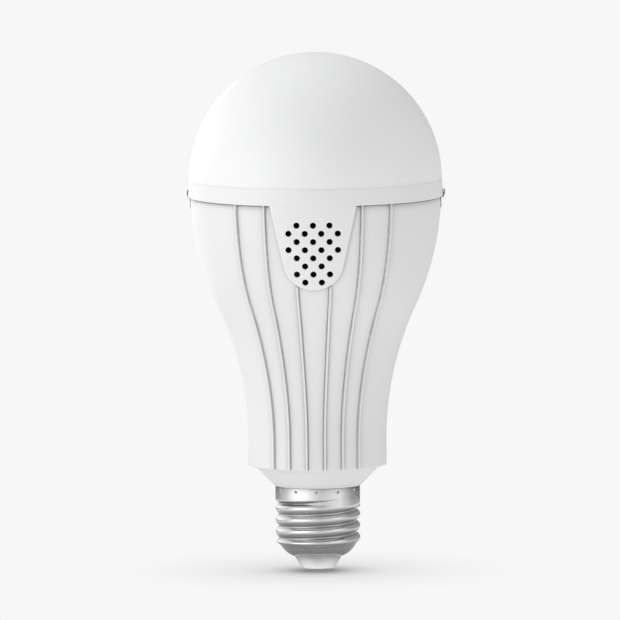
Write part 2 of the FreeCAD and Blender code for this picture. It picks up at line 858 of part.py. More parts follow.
def make_speaker_box():
    """Closed cup behind the loudspeaker, with a seat for its flange and holes for screws and leads."""
    body = speaker_piece("speaker_box", [
        ("flange_radius + 0.1", "0"),
        ("flange_radius + 0.1", "0 - flange_thick - fit_gap"),
        ("box_bore", "0 - flange_thick - fit_gap"),
        ("box_bore", "box_floor - box_depth"),
        ("0", "box_floor - box_depth"),
        ("0", "0 - box_depth"),
        ("box_radius", "0 - box_depth"),
        ("box_radius", "0"),
    ])
    holes = new_sketch(body, "box_holes_outline", "XY_Plane")
    draw_rear_holes(holes, "0 - speaker_lead_drop", "0")
    cut_through(body, holes, "box_holes")


def draw_rear_holes(sketch, lead_height, screw_height):
    """Two lead holes and two screw holes, shared by the box and its bracket."""
    for side in ("", "0 - "):
        draw_circle(sketch, f"{side}speaker_lead_x", lead_height, "speaker_lead_hole")
        draw_circle(sketch, f"{side}box_screw_x", screw_height, "screw_bore")


def make_speaker_gasket():
    """Foam ring from the loudspeaker's flat front to the curved inside of the wall."""
    body = new_body("speaker_gasket")
    sketch = new_sketch(body, "gasket_outline")
    sketch.setExpression("AttachmentOffset.Base.z", bound("speaker_front + fit_gap"))
    draw_circle(sketch, "0", "speaker_height", "box_radius")
    draw_circle(sketch, "0", "speaker_height", "gasket_bore")
    pad(body, sketch, "gasket_tube", "neck_radius - speaker_front")
    inside = "(0 - wall - 0.1)"
    low = "(speaker_height - box_radius - 1)"
    high = "(speaker_height + box_radius + 1)"
    revolve(body, "wall_side", [
        ("clip_outside + 5", low),
        ("clip_outside + 5", high),
        ("ledge_radius - 0.3", high),
        ("ledge_radius - 0.3", "ledge_height - 1.3"),
        (wall_radius("(ledge_height - 2.7)", inside), "ledge_height - 2.7"),
        (wall_radius(low, inside), low, f"0 - (convex_radius + {inside})"),
    ], kind="PartDesign::Groove")


def make_acoustic_cloth():
    speaker_piece("acoustic_cloth", [
        ("0", "cloth_front - cloth_thick"),
        ("cloth_radius", "cloth_front - cloth_thick"),
        ("cloth_radius", "cloth_front"),
        ("0", "cloth_front"),
    ])


def make_speaker_bracket():
    """Angle plate from the heat spreader down behind the loudspeaker's box."""
    body = new_body("speaker_bracket")
    sketch = new_sketch(body, "bracket_outline", "YZ_Plane")
    back = "(box_depth - speaker_front)"
    top = "(board_seat - spreader_plate)"
    draw_outline(sketch, [
        (back, "bracket_foot"),
        (f"{back} + bracket_thick", "bracket_foot"),
        (f"{back} + bracket_thick", f"{top} - bracket_thick"),
        (f"{back} + bracket_shelf", f"{top} - bracket_thick"),
        (f"{back} + bracket_shelf", top),
        (back, top),
    ])
    pad(body, sketch, "bracket_plate", "bracket_half * 2", midplane=True)
    holes = new_sketch(body, "bracket_holes_outline")
    draw_rear_holes(holes, "speaker_height - speaker_lead_drop", "speaker_height")
    cut_through(body, holes, "bracket_holes", reverse=True)


def make_speaker_screws():
    """Two screws through the bracket into the box."""
    rear = size("box_depth + bracket_thick - speaker_front")
    forward = FreeCAD.Vector(0, -1, 0)
    screws = []
    for side in (-1, 1):
        place = FreeCAD.Vector(side * size("box_screw_x"), rear, size("speaker_height"))
        short = screw_shape(place, forward)
        reach = size("bracket_thick + box_floor") - 0.3
        keep = Part.makeBox(20, reach + 5, 20, FreeCAD.Vector(place.x - 10, rear - reach, place.z - 10))
        screws.append(short.common(keep))
    shaped("speaker_screws", Part.makeCompound(screws))


# ---------------------------------------------------------------- power and control electronics

def make_driver_liner():
    revolved_body("driver_liner", [
        ("liner_radius - liner_wall", "liner_foot"),
        ("liner_radius", "liner_foot"),
        ("liner_radius", "liner_top"),
        ("liner_radius - liner_wall", "liner_top"),
    ])


def make_driver_board():
    """Upright board: a narrow tongue in the foot, and two tabs that plug into the control board."""
    body = new_body("driver_board")
    sketch = new_sketch(body, "driver_outline")
    right = [
        ("tongue_half", "tongue_foot"),
        ("tongue_half", "driver_foot"),
        ("driver_half", "driver_foot"),
        ("driver_half", "driver_top"),
        ("tab_outer", "driver_top"),
        ("tab_outer", "tab_tip"),
        ("tab_inner", "tab_tip"),
        ("tab_inner", "driver_top"),
    ]
    left = [(f"0 - {across}", up) for across, up in reversed(right)]
    draw_outline(sketch, right + left)
    pad(body, sketch, "driver_plate", "driver_thick", midplane=True)


def make_control_board():
    body = new_body("control_board")
    sketch = new_sketch(body, "control_outline", "XY_Plane")
    draw_circle(sketch, "0", "0", "control_radius")
    for side in (1, -1):
        near = f"{side} * (tab_inner - 0.1)"
        far = f"{side} * (tab_outer + 0.1)"
        half = "(driver_thick / 2 + 0.1)"
        draw_outline(sketch, [(near, f"0 - {half}"), (far, f"0 - {half}"), (far, half), (near, half)])
    pad(body, sketch, "control_plate", "control_thick")
    body.setExpression("Placement.Base.z", bound("control_foot"))


def make_transformer():
    """Ferrite frame with a round middle leg, and the winding around that leg."""
    middle = FreeCAD.Vector(0, -size("driver_thick / 2 + core_deep / 2"), size("core_foot"))
    frame = Part.makeBox(
        size("core_wide"), size("core_deep"), size("core_tall"),
        middle - FreeCAD.Vector(size("core_wide") / 2, size("core_deep") / 2, 0),
    )
    gap = size("core_tall - 2 * core_yoke")
    foot = middle + FreeCAD.Vector(0, 0, size("core_yoke"))
    window = Part.makeBox(
        size("core_window"), size("core_deep"), gap,
        foot - FreeCAD.Vector(size("core_window") / 2, size("core_deep") / 2, 0),
    )
    leg = Part.makeCylinder(size("leg_radius"), gap, foot)
    shaped("transformer_core", frame.cut(window).fuse(leg).removeSplitter())
    foot = foot + FreeCAD.Vector(0, 0, 0.2)
    wound = Part.makeCylinder(size("winding_radius"), gap - 0.4, foot)
    bore = Part.makeCylinder(size("leg_radius") + 0.15, gap - 0.4, foot)
    shaped("transformer_winding", wound.cut(bore))


def can_corners(radius, tall):
    """Electrolytic can: crimped ring near the foot and a rounded top edge."""
    return [
        ("0", "0"),
        (radius, "0"),
        (radius, "can_crimp_height"),
        (f"{radius} - can_crimp_depth", "can_crimp_height + can_crimp_depth"),
        (radius, "can_crimp_height + 2 * can_crimp_depth"),
        (radius, f"{tall} - 0.5"),
        (f"{radius} - 0.5", tall, "0.5"),
        ("0", tall),
    ]


def make_capacitors():
    for name, word in (("bulk_capacitor", "bulk"), ("output_capacitor", "output")):
        body = revolved_body(name, can_corners(f"{word}_radius", f"{word}_tall"))
        body.setExpression("Placement.Base.x", bound(f"{word}_x"))
        body.setExpression("Placement.Base.y", bound(f"driver_thick / 2 + {word}_radius + fit_gap"))
        body.setExpression("Placement.Base.z", bound(f"{word}_foot"))


def make_control_capacitors():
    """Four small cans in a row along the back of the control board."""
    cans = []
    foot = size("control_foot + control_thick")
    for k in range(4):
        place = FreeCAD.Vector((k - 1.5) * size("small_pitch"), size("small_row"), foot)
        can = Part.makeCylinder(size("small_radius"), size("small_tall"), place)
        crimp_height = FreeCAD.Vector(0, 0, size("can_crimp_height"))
        ring = Part.makeTorus(size("small_radius") + 0.1, size("can_crimp_depth"), place + crimp_height)
        cans.append(can.cut(ring))
    shaped("control_capacitors", Part.makeCompound(cans))


def make_line_choke():
    """Drum core on the front of the power board."""
    body = revolved_body("line_choke", [
        ("0", "0"),
        ("choke_radius", "0"),
        ("choke_radius", "choke_flange"),
        ("choke_waist", "choke_flange"),
        ("choke_waist", "choke_tall - choke_flange"),
        ("choke_radius", "choke_tall - choke_flange"),
        ("choke_radius", "choke_tall"),
        ("0", "choke_tall"),
    ])
    body.Placement = FreeCAD.Placement(FreeCAD.Vector(), FreeCAD.Rotation(FreeCAD.Vector(1, 0, 0), 90))
    body.setExpression("Placement.Base.x", bound("choke_x"))
    body.setExpression("Placement.Base.y", bound("0 - driver_thick / 2"))
    body.setExpression("Placement.Base.z", bound("choke_height"))


def make_fuse_resistor():
    body = revolved_body("fuse_resistor", [
        ("0", "0"),
        ("fuse_radius - 0.4", "0"),
        ("fuse_radius", "0.4", "0.4"),
        ("fuse_radius", "1.6"),
        ("fuse_radius - 0.25", "2.2"),
        ("fuse_radius - 0.25", "fuse_length - 2.2"),
        ("fuse_radius", "fuse_length - 1.6"),
        ("fuse_radius", "fuse_length - 0.4"),
        ("fuse_radius - 0.4", "fuse_length", "0.4"),
        ("0", "fuse_length"),
    ])
    body.setExpression("Placement.Base.x", bound("fuse_x"))
    body.setExpression("Placement.Base.y", bound("driver_thick / 2 + fuse_radius + fit_gap"))
    body.setExpression("Placement.Base.z", bound("fuse_foot"))


def make_antenna_post():
    post = doc.addObject("Part::Cylinder", "antenna_post")
    post.Label = "antenna_post"
    post.setExpression("Radius", bound("antenna_radius"))
    post.setExpression("Height", bound("antenna_top - control_foot - control_thick"))
    post.setExpression("Placement.Base.x", bound("antenna_x"))
    post.setExpression("Placement.Base.y", bound("antenna_y"))
    post.setExpression("Placement.Base.z", bound("control_foot + control_thick"))


# ---------------------------------------------------------------- leads

def bent_path(points):
    """Straight runs joined by tangent arcs, each as large as its two runs allow."""
    spots = [FreeCAD.Vector(*point) for point in points]
    edges = []
    here = spots[0]
    for before, corner, after in zip(spots, spots[1:], spots[2:]):
        into = (before - corner).normalize()
        out = (after - corner).normalize()
        half_turn = (math.pi - into.getAngle(out)) / 2
        reach = 0.45 * min((before - corner).Length, (after - corner).Length)
        radius = reach / math.tan(half_turn)
        start = corner + into * reach
        end = corner + out * reach
        bisector = (into + out).normalize()
        middle = corner + bisector * (radius / math.cos(half_turn) - radius)
        edges.append(Part.LineSegment(here, start).toShape())
        edges.append(Part.Arc(start, middle, end).toShape())
        here = end
    edges.append(Part.LineSegment(here, spots[-1]).toShape())
    return Part.Wire(edges)


def lead_shape(points, shift=(0, 0, 0)):
    """Round wire along a bent path, with its volume checked against its length."""
    path = bent_path([[a + b for a, b in zip(point, shift)] for point in points])
    first = path.Edges[0]
    start = first.valueAt(first.FirstParameter)
    circle = Part.Circle(start, first.tangentAt(first.FirstParameter), size("wire_radius"))
    tube = path.makePipeShell([Part.Wire(circle.toShape())], True, False)
    expected = math.pi * size("wire_radius") ** 2 * path.Length
    assert abs(tube.Volume - expected) < 0.02 * expected, "lead is pinched"
    return tube


def make_leads():
    shaped("live_lead", lead_shape(LIVE_LEAD))
    shaped("neutral_lead", lead_shape(NEUTRAL_LEAD))
    half = LEAD_SPACING / 2
    corner = (size("led_lead_x"), size("led_lead_y"), 0)
    pair = [lead_shape(LED_LEAD, (corner[0] + side * half, corner[1], 0)) for side in (-1, 1)]
    shaped("led_lead_pair", Part.makeCompound(pair))
    entry = size("speaker_height - speaker_lead_drop")
    route = [(0, -5, size("control_foot + control_thick + fit_gap")), (0, -5, entry), (0, -15, entry)]
    pair = [lead_shape(route, (side * size("speaker_lead_x"), 0, 0)) for side in (-1, 1)]
    shaped("speaker_lead_pair", Part.makeCompound(pair))


# ---------------------------------------------------------------- build, check and write

make_centre_contact()
make_tip_insulator()
make_screw_shell()
make_housing()
make_grille_collar()
make_collar_clips()
make_diffuser_dome()
make_dome_seal()
make_heat_spreader()
make_led_board()
make_led_chips()
make_led_board_screws()
make_speaker_frame()
make_speaker_motion()
make_speaker_box()
make_speaker_gasket()
make_acoustic_cloth()
make_speaker_bracket()
make_speaker_screws()
make_driver_liner()
make_driver_board()
make_control_board()
make_transformer()
make_capacitors()
make_control_capacitors()
make_line_choke()
make_fuse_resistor()
make_antenna_post()
make_leads()
for block_name in BLOCKS:
    block(block_name)

doc.recompute()
for item in doc.Objects:
    if "Invalid" in item.State or "Error" in item.State:
        raise RuntimeError(f"{item.Name} failed: {item.State}")

KINDS = ("PartDesign::Body", "Part::Feature", "Part::Box", "Part::Cylinder")
parts = [item for item in doc.Objects if item.TypeId in KINDS]
os.makedirs("parts", exist_ok=True)
for item in parts:
    if item.Shape.isNull() or not item.Shape.isValid():
        raise RuntimeError(f"{item.Label} has no valid shape")
for item in parts:
    item.Shape.exportStep(f"parts/{item.Label}.step")
    print(item.Label, len(item.Shape.Solids), round(item.Shape.Volume, 2))
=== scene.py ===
import math

import bmesh
import bpy
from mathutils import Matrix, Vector


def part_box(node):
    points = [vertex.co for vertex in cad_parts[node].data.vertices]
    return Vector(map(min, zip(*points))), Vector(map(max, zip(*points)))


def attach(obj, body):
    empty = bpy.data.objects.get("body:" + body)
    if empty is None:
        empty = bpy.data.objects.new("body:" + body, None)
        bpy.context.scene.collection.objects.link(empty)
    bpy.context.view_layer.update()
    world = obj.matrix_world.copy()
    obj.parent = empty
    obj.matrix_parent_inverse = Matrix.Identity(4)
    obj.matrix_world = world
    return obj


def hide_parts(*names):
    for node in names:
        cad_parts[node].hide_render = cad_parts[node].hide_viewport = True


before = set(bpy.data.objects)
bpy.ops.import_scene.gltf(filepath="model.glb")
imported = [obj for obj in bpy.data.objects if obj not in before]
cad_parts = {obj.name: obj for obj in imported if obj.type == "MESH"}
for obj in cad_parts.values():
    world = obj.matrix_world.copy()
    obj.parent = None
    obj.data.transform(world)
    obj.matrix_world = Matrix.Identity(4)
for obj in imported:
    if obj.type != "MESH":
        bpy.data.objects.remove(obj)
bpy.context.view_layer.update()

MM = 0.001
BODY = "bulb"

# Driving dimensions in millimetres, the same as the CAD model's. Heights are from the flat of the tip.
WALL = 2.0
WAIST_RADIUS = 21.4
WAIST_FOOT = 32.3
FLARE_START = 39.7
FLARE_ANGLE = math.radians(25.1)
CONCAVE_RADIUS = 98.3
CONVEX_RADIUS = 86.7
RIB_HEIGHT = 0.7
RIB_PITCH = math.radians(15)
NECK_RADIUS = 37.5
NECK_BORE = 35.5
NECK_TOP = 119.0
COLLAR_BORE = 37.6
COLLAR_FOOT_RADIUS = 39.5
DOME_WALL = 1.5
SHELL_WALL = 0.35
SHELL_MOUTH = 7.7
CUP_TOP = 8.4
THREAD_ROOT = 12.13
THREAD_CREST = 13.13
THREAD_PITCH = 3.63
CRIMP_COUNT = 12
TAB_PROUD = 0.65
TAB_BEND = 9.5
TAB_BEND_HEIGHT = 98.7
TAB_SIDES = math.radians(12.5)
WINDOW_HALF = 8.8
WINDOW_CORNER = 6.6
WINDOW_SHOULDER = 108.4
WINDOW_TOP = 111.2
HOLE_RADIUS = 0.93
HOLE_PITCH = 2.53
HOLE_ROW = 2.55
GRILLE_ROWS = (3, 4, 3, 4, 3, 2, 3, 2)
TOP_ROW = 109.65

# Sizes of these detailed pieces alone: finer shapes, or small differences from the CAD model
SHORT_RIB_TOP = 90.3
RIB_HALF_WIDTH = 0.27
RIB_EDGE = 0.12
RIB_SWEEP = math.radians(1.1)
SWEEP_RISE = (42, 72)
SWEEP_FALL = (85, 112)
GROOVE_DEPTH = 0.12
COLLAR_FOOT = 115.55
COLLAR_TOP_RADIUS = 39.07
GAP_DEPTH = 0.45
GAP_HEIGHT = 0.3
HOLLOW_FOOT = 113.2
HOLLOW_DEPTH = 0.3
CLIP_HALF_WIDTH = 1.95
CLIP_LEAF = 0.43
CLIP_FOOT_INSIDE = 38.6
CLIP_FOOT_OUTSIDE = 38.85
LEFT_CLIP_INSET = 0.2
CREST_HEIGHT = 13.1
CRIMP_HEIGHT = 24.5
CRIMP_DEPTH = 0.3
FLOOR_HEIGHT = -0.9

# Brightness of the reflection cards' upper rows, beside and behind the bulb
LEFT_EDGE_TONE = 1.35
RIGHT_EDGE_TONE = 0.4

# The rest comes from the CAD nodes' own boxes
collar_low, collar_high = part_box("grille_collar")
clips_low, clips_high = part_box("collar_clips")
dome_low, dome_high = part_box("diffuser_dome")
shell_low, shell_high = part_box("screw_shell")
CLIP_RADIUS = clips_high[0] / MM
CLIP_TOP = clips_high[2] / MM
CLIP_FOOT = clips_low[2] / MM
COLLAR_TOP = collar_high[2] / MM
DOME_RADIUS = dome_high[0] / MM
DOME_TOP = dome_high[2] / MM
DOME_FOOT = dome_low[2] / MM
FOOT_HEIGHT = shell_high[2] / MM + 0.05
SHELL_FOOT = shell_low[2] / MM

INFLECTION_RADIUS = WAIST_RADIUS + CONCAVE_RADIUS * (1 - math.cos(FLARE_ANGLE))
INFLECTION_HEIGHT = FLARE_START + CONCAVE_RADIUS * math.sin(FLARE_ANGLE)
SHOULDER_RADIUS = INFLECTION_RADIUS + CONVEX_RADIUS * (1 - math.cos(FLARE_ANGLE))
SHOULDER_HEIGHT = INFLECTION_HEIGHT + CONVEX_RADIUS * math.sin(FLARE_ANGLE)


# ---------------------------------------------------------------- mesh tools

def wall_radius(height, offset=0.0):
    """Radius of the housing's S-curved wall at a height, moved out square to the wall."""
    if height <= FLARE_START:
        return WAIST_RADIUS + offset
    joint = INFLECTION_HEIGHT - offset * math.sin(FLARE_ANGLE)
    if height <= joint:
        bend = CONCAVE_RADIUS - offset
        return WAIST_RADIUS + CONCAVE_RADIUS - math.sqrt(bend ** 2 - (height - FLARE_START) ** 2)
    bend = CONVEX_RADIUS + offset
    return SHOULDER_RADIUS - CONVEX_RADIUS + math.sqrt(bend ** 2 - (SHOULDER_HEIGHT - height) ** 2)


def smoothstep(low, high, value):
    """0 below the low value and 1 above the high one, with a soft change between them."""
    share = min(max((value - low) / (high - low), 0.0), 1.0)
    return share * share * (3 - 2 * share)


def rounded(corners, steps=6):
    """An outline through corners (x, y, fillet radius), with each corner turned into an arc."""
    points = []
    count = len(corners)
    for k, (x, y, fillet) in enumerate(corners):
        here = Vector((x, y))
        if fillet <= 0:
            points.append(here)
            continue
        into = (Vector(corners[k - 1][:2]) - here).normalized()
        out = (Vector(corners[(k + 1) % count][:2]) - here).normalized()
        half = into.angle(out) / 2
        reach = fillet / math.tan(half)
        centre = here + (into + out).normalized() * fillet / math.sin(half)
        first = here + into * reach - centre
        last = here + out * reach - centre
        start = math.atan2(first.y, first.x)
        turn = (math.atan2(last.y, last.x) - start + math.pi) % (2 * math.pi) - math.pi
        for step in range(steps + 1):
            angle = start + turn * step / steps
            points.append(centre + Vector((math.cos(angle), math.sin(angle))) * fillet)
    return [(point.x, point.y) for point in points]


def new_object(name, vertices, faces, smooth=True):
    mesh = bpy.data.meshes.new(name)
    mesh.from_pydata([tuple(c * MM for c in vertex) for vertex in vertices], [], faces)
    mesh.update()
    piece = bpy.data.objects.new(name, mesh)
    bpy.context.scene.collection.objects.link(piece)
    tidy = bmesh.new()
    tidy.from_mesh(mesh)
    bmesh.ops.recalc_face_normals(tidy, faces=tidy.faces)
    for face in tidy.faces:
        face.smooth = smooth
    tidy.to_mesh(mesh)
    tidy.free()
    return piece


def lathe(name, outline, angles, place=None):
    """Turn a closed outline of (radius, height) about Z; place(k, angle) may move an outline point."""
    vertices = []
    rows = []
    for k, (radius, height) in enumerate(outline):
        if radius < 1e-6:
            rows.append([len(vertices)] * len(angles))
            vertices.append((0, 0, height))
            continue
        rows.append(range(len(vertices), len(vertices) + len(angles)))
        for angle in angles:
            r, z = place(k, angle) if place else (radius, height)
            vertices.append((r * math.cos(angle), r * math.sin(angle), z))
    faces = []
    for k in range(len(outline)):
        low, high = rows[k], rows[(k + 1) % len(outline)]
        if low[0] == low[-1] and high[0] == high[-1]:
            continue
        for j in range(len(angles)):
            following = (j + 1) % len(angles)
            corners = [low[j], low[following], high[following], high[j]]
            faces.append(list(dict.fromkeys(corners)))
    return new_object(name, vertices, faces)


def even_angles(count):
    return [2 * math.pi * k / count for k in range(count)]


def sharpen(piece, angle=35):
    """Keep smooth shading on round stretches and mark the real corners sharp."""
    mesh = piece.data
    edges = bmesh.new()
    edges.from_mesh(mesh)
    for edge in edges.edges:
        if len(edge.link_faces) == 2 and edge.calc_face_angle(0) > math.radians(angle):
            edge.smooth = False
    edges.to_mesh(mesh)
    edges.free()


# ---------------------------------------------------------------- materials

class Paint:
    """Short calls for a node material built round one Principled shader."""

    def __init__(self, name):
        self.material = bpy.data.materials.new(name)
        self.material.use_nodes = True
        self.tree = self.material.node_tree
        self.shader = next(node for node in self.tree.nodes if node.type == "BSDF_PRINCIPLED")
        self.coordinates = self.tree.nodes.new("ShaderNodeTexCoord").outputs["Object"]

    def set(self, **values):
        for name, value in values.items():
            self.shader.inputs[name.replace("_", " ")].default_value = value
        return self

    def link(self, source, target):
        self.tree.links.new(source, target)

    def noise(self, scale, detail=4.0, rough=0.55, stretch=None):
        node = self.tree.nodes.new("ShaderNodeTexNoise")
        node.inputs["Scale"].default_value = scale
        node.inputs["Detail"].default_value = detail
        node.inputs["Roughness"].default_value = rough
        source = self.coordinates
        if stretch:
            mapping = self.tree.nodes.new("ShaderNodeMapping")
            mapping.inputs["Scale"].default_value = stretch
            self.link(source, mapping.inputs["Vector"])
            source = mapping.outputs["Vector"]
        self.link(source, node.inputs["Vector"])
        return node.outputs["Fac"]

    def spread(self, source, low, high, start=0.3, end=0.7):
        """Map a texture's middle range to a range of values."""
        node = self.tree.nodes.new("ShaderNodeMapRange")
        for name, value in (("From Min", start), ("From Max", end), ("To Min", low), ("To Max", high)):
            node.inputs[name].default_value = value
        self.link(source, node.inputs["Value"])
        return node.outputs["Result"]

    def ramp(self, source, stops):
        node = self.tree.nodes.new("ShaderNodeValToRGB")
        marks = node.color_ramp.elements
        while len(marks) < len(stops):
            marks.new(0.5)
        for mark, (position, colour) in zip(marks, stops):
            mark.position = position
            mark.color = (*colour, 1.0)
        self.link(source, node.inputs["Fac"])
        return node.outputs["Color"]

    def colour(self, source, stops, reach=0.0, depth=0.0, closed=0.3):
        """Base colour from a texture; painted shade darkens hollows narrower than the reach (mm) by the
        depth.
        """
        shade = self.ramp(source, stops)
        if reach:
            openness = self.tree.nodes.new("ShaderNodeAmbientOcclusion")
            openness.samples = 12
            openness.inputs["Distance"].default_value = reach * MM
            floor = 1.0 - depth
            # painted shade: the colour turns darker where nearby surfaces close in within the reach
            painted_shade = self.ramp(openness.outputs["AO"], [(closed, (floor,) * 3), (1.0, (1.0,) * 3)])
            mix = self.tree.nodes.new("ShaderNodeMixRGB")
            mix.blend_type = "MULTIPLY"
            mix.inputs["Fac"].default_value = 1.0
            self.link(shade, mix.inputs["Color1"])
            self.link(painted_shade, mix.inputs["Color2"])
            shade = mix.outputs["Color"]
        self.link(shade, self.shader.inputs["Base Color"])
        return self

    def roughness(self, source, low, high):
        self.link(self.spread(source, low, high), self.shader.inputs["Roughness"])
        return self

    def bump(self, source, depth_mm, strength=1.0):
        node = self.tree.nodes.new("ShaderNodeBump")
        node.inputs["Strength"].default_value = strength
        node.inputs["Distance"].default_value = depth_mm * MM
        self.link(source, node.inputs["Height"])
        self.link(node.outputs["Normal"], self.shader.inputs["Normal"])
        return self


def shades(colour, low, high):
    """Two colour stops a little darker and a little lighter than a colour."""
    return [(0.3, tuple(c * low for c in colour)), (0.7, tuple(min(c * high, 1.0) for c in colour))]


def moulded_plastic(name, colour, rough=0.42, grain=0.006, subsurface=0.0, reach=0.0, depth=0.65):
    """Injection-moulded plastic: faint mottling, a very fine spark-eroded grain and, given a reach,
    painted shade in its hollows.
    """
    paint = Paint(name)
    paint.set(IOR=1.46)
    if subsurface:
        paint.set(Subsurface_Weight=subsurface, Subsurface_Scale=0.004)
        paint.set(Subsurface_Radius=(1.0, 0.9, 0.8))
    paint.colour(paint.noise(60, 3), shades(colour, 0.992, 1.006), reach, depth)
    paint.roughness(paint.noise(900, 2), rough - 0.03, rough + 0.04)
    paint.bump(paint.noise(5200, 2), grain, 0.35)
    return paint.material


def nickel_plate(name, colour, rough=0.16):
    """Bright nickel over pressed brass: drawing lines round the axis, slight clouding and painted shade in
    the thread's roots and the crimps.
    """
    paint = Paint(name)
    paint.set(Metallic=1.0)
    # painted shade: darker in the thread's roots and the crimps
    paint.colour(paint.noise(350, 5), shades(colour, 0.97, 1.03), reach=2.2, depth=0.75, closed=0.62)
    paint.roughness(paint.noise(500, 5, stretch=(1, 1, 6)), rough - 0.04, rough + 0.05)
    paint.bump(paint.noise(260, 4, stretch=(1, 1, 14)), 0.01, 0.2)
    return paint.material


def brushed_metal(name, colour, rough=0.32):
    """Rolled or plated sheet with fine lines along one direction."""
    paint = Paint(name)
    paint.set(Metallic=1.0)
    lines = paint.noise(150, 6, stretch=(1, 12, 1))
    paint.colour(lines, shades(colour, 0.88, 1.06))
    paint.roughness(lines, rough - 0.06, rough + 0.1)
    paint.bump(lines, 0.02, 0.3)
    return paint.material


def dull_solid(name, colour, rough=0.6, grain=0.03, scale=1500, spread=0.12):
    """Rubber, ferrite, paper, epoxy and sleeves: mottled colour and a matt grain."""
    paint = Paint(name)
    paint.colour(paint.noise(scale / 6, 4), shades(colour, 1 - spread, 1 + spread))
    paint.roughness(paint.noise(scale / 3, 3), rough - 0.06, rough + 0.06)
    paint.bump(paint.noise(scale, 4), grain, 0.5)
    return paint.material


def insulator_painted_shade(name, low, high, taper=3.75):
    """White moulding with painted shade: it turns greyer over its taper, from the lower end up to the
    shell.
    """
    paint = Paint(name)
    split = paint.tree.nodes.new("ShaderNodeSeparateXYZ")
    paint.link(paint.coordinates, split.inputs["Vector"])
    rise = paint.tree.nodes.new("ShaderNodeMapRange")
    rise.inputs["From Max"].default_value = taper * MM
    paint.link(split.outputs["Z"], rise.inputs["Value"])
    # painted shade: darker towards the shell above
    paint.colour(rise.outputs["Result"], [(0.0, (low,) * 3), (1.0, (high,) * 3)])
    paint.roughness(paint.noise(800, 3), 0.32, 0.4)
    return paint.material


def woven_cloth(name, colour):
    """Open plain weave from two crossed sets of waves."""
    paint = Paint(name)
    paint.set(Roughness=0.95)
    waves = []
    for direction in ("X", "Z"):
        wave = paint.tree.nodes.new("ShaderNodeTexWave")
        wave.bands_direction = direction
        wave.inputs["Scale"].default_value = 900
        paint.link(paint.coordinates, wave.inputs["Vector"])
        waves.append(wave.outputs["Fac"])
    weave = paint.tree.nodes.new("ShaderNodeMath")
    weave.operation = "MULTIPLY"
    paint.link(waves[0], weave.inputs[0])
    paint.link(waves[1], weave.inputs[1])
    paint.colour(weave.outputs["Value"], shades(colour, 0.5, 1.4))
    paint.bump(weave.outputs["Value"], 0.08, 0.8)
    return paint.material


def wound_wire(name, colour, axis, scale):
    """Fine turns of enamelled wire or tape round a coil, side by side along an axis."""
    paint = Paint(name)
    paint.set(Metallic=0.7)
    wave = paint.tree.nodes.new("ShaderNodeTexWave")
    wave.bands_direction = axis
    wave.inputs["Scale"].default_value = scale
    paint.link(paint.coordinates, wave.inputs["Vector"])
    paint.colour(wave.outputs["Fac"], [(0.0, tuple(c * 0.45 for c in colour)), (0.6, colour)])
    paint.bump(wave.outputs["Fac"], 0.12, 0.8)
    paint.roughness(paint.noise(800), 0.25, 0.4)
    return paint.material


def circuit_board(name, colour):
    """Solder mask with faint copper tracks showing through as paler paths."""
    paint = Paint(name)
    paint.set(Coat_Weight=0.4, Coat_Roughness=0.2)
    cells = paint.tree.nodes.new("ShaderNodeTexVoronoi")
    cells.feature = "DISTANCE_TO_EDGE"
    cells.inputs["Scale"].default_value = 260
    paint.link(paint.coordinates, cells.inputs["Vector"])
    tracks = cells.outputs["Distance"]
    paint.colour(tracks, [(0.04, tuple(min(c * 1.5, 1.0) for c in colour)), (0.09, colour)])
    paint.roughness(paint.noise(700), 0.3, 0.42)
    paint.bump(tracks, 0.03, 0.3)
    return paint.material


def clear_film(name, colour):
    """Translucent insulating film."""
    paint = Paint(name)
    paint.set(Transmission_Weight=0.7, IOR=1.5, Alpha=0.55)
    paint.colour(paint.noise(120), shades(colour, 0.97, 1.03))
    paint.roughness(paint.noise(400), 0.18, 0.32)
    paint.bump(paint.noise(300), 0.02, 0.3)
    return paint.material


# ---------------------------------------------------------------- outer pieces

def make_dome():
    """Opal hemisphere, and its skirt inside the collar."""
    centre = DOME_TOP - DOME_RADIUS
    inner = DOME_RADIUS - DOME_WALL
    skirt_inside = 35.8
    skirt_outside = 37.3
    seam = COLLAR_TOP + 0.005
    steps = 96
    arc = [math.pi / 2 * k / steps for k in range(steps + 1)]
    outside = [(DOME_RADIUS * math.cos(a), centre + DOME_RADIUS * math.sin(a)) for a in arc]
    inside = [(inner * math.cos(a), centre + inner * math.sin(a)) for a in reversed(arc[3:])]
    skirt = [
        (skirt_inside, centre + 1.5),
        (skirt_inside, DOME_FOOT),
        (skirt_outside, DOME_FOOT),
        (skirt_outside, seam),
        (DOME_RADIUS, seam),
    ]
    outside[-1] = (0.0, outside[-1][1])
    inside[0] = (0.0, inside[0][1])
    piece = lathe("opal_dome_shell", outside + inside + skirt, even_angles(192))
    sharpen(piece)
    return piece


def rib_sweep(height):
    """Angle by which a rib leans away from the middle: most half way up the body, and less at the top."""
    return RIB_SWEEP * (smoothstep(*SWEEP_RISE, height) - 0.7 * smoothstep(*SWEEP_FALL, height))


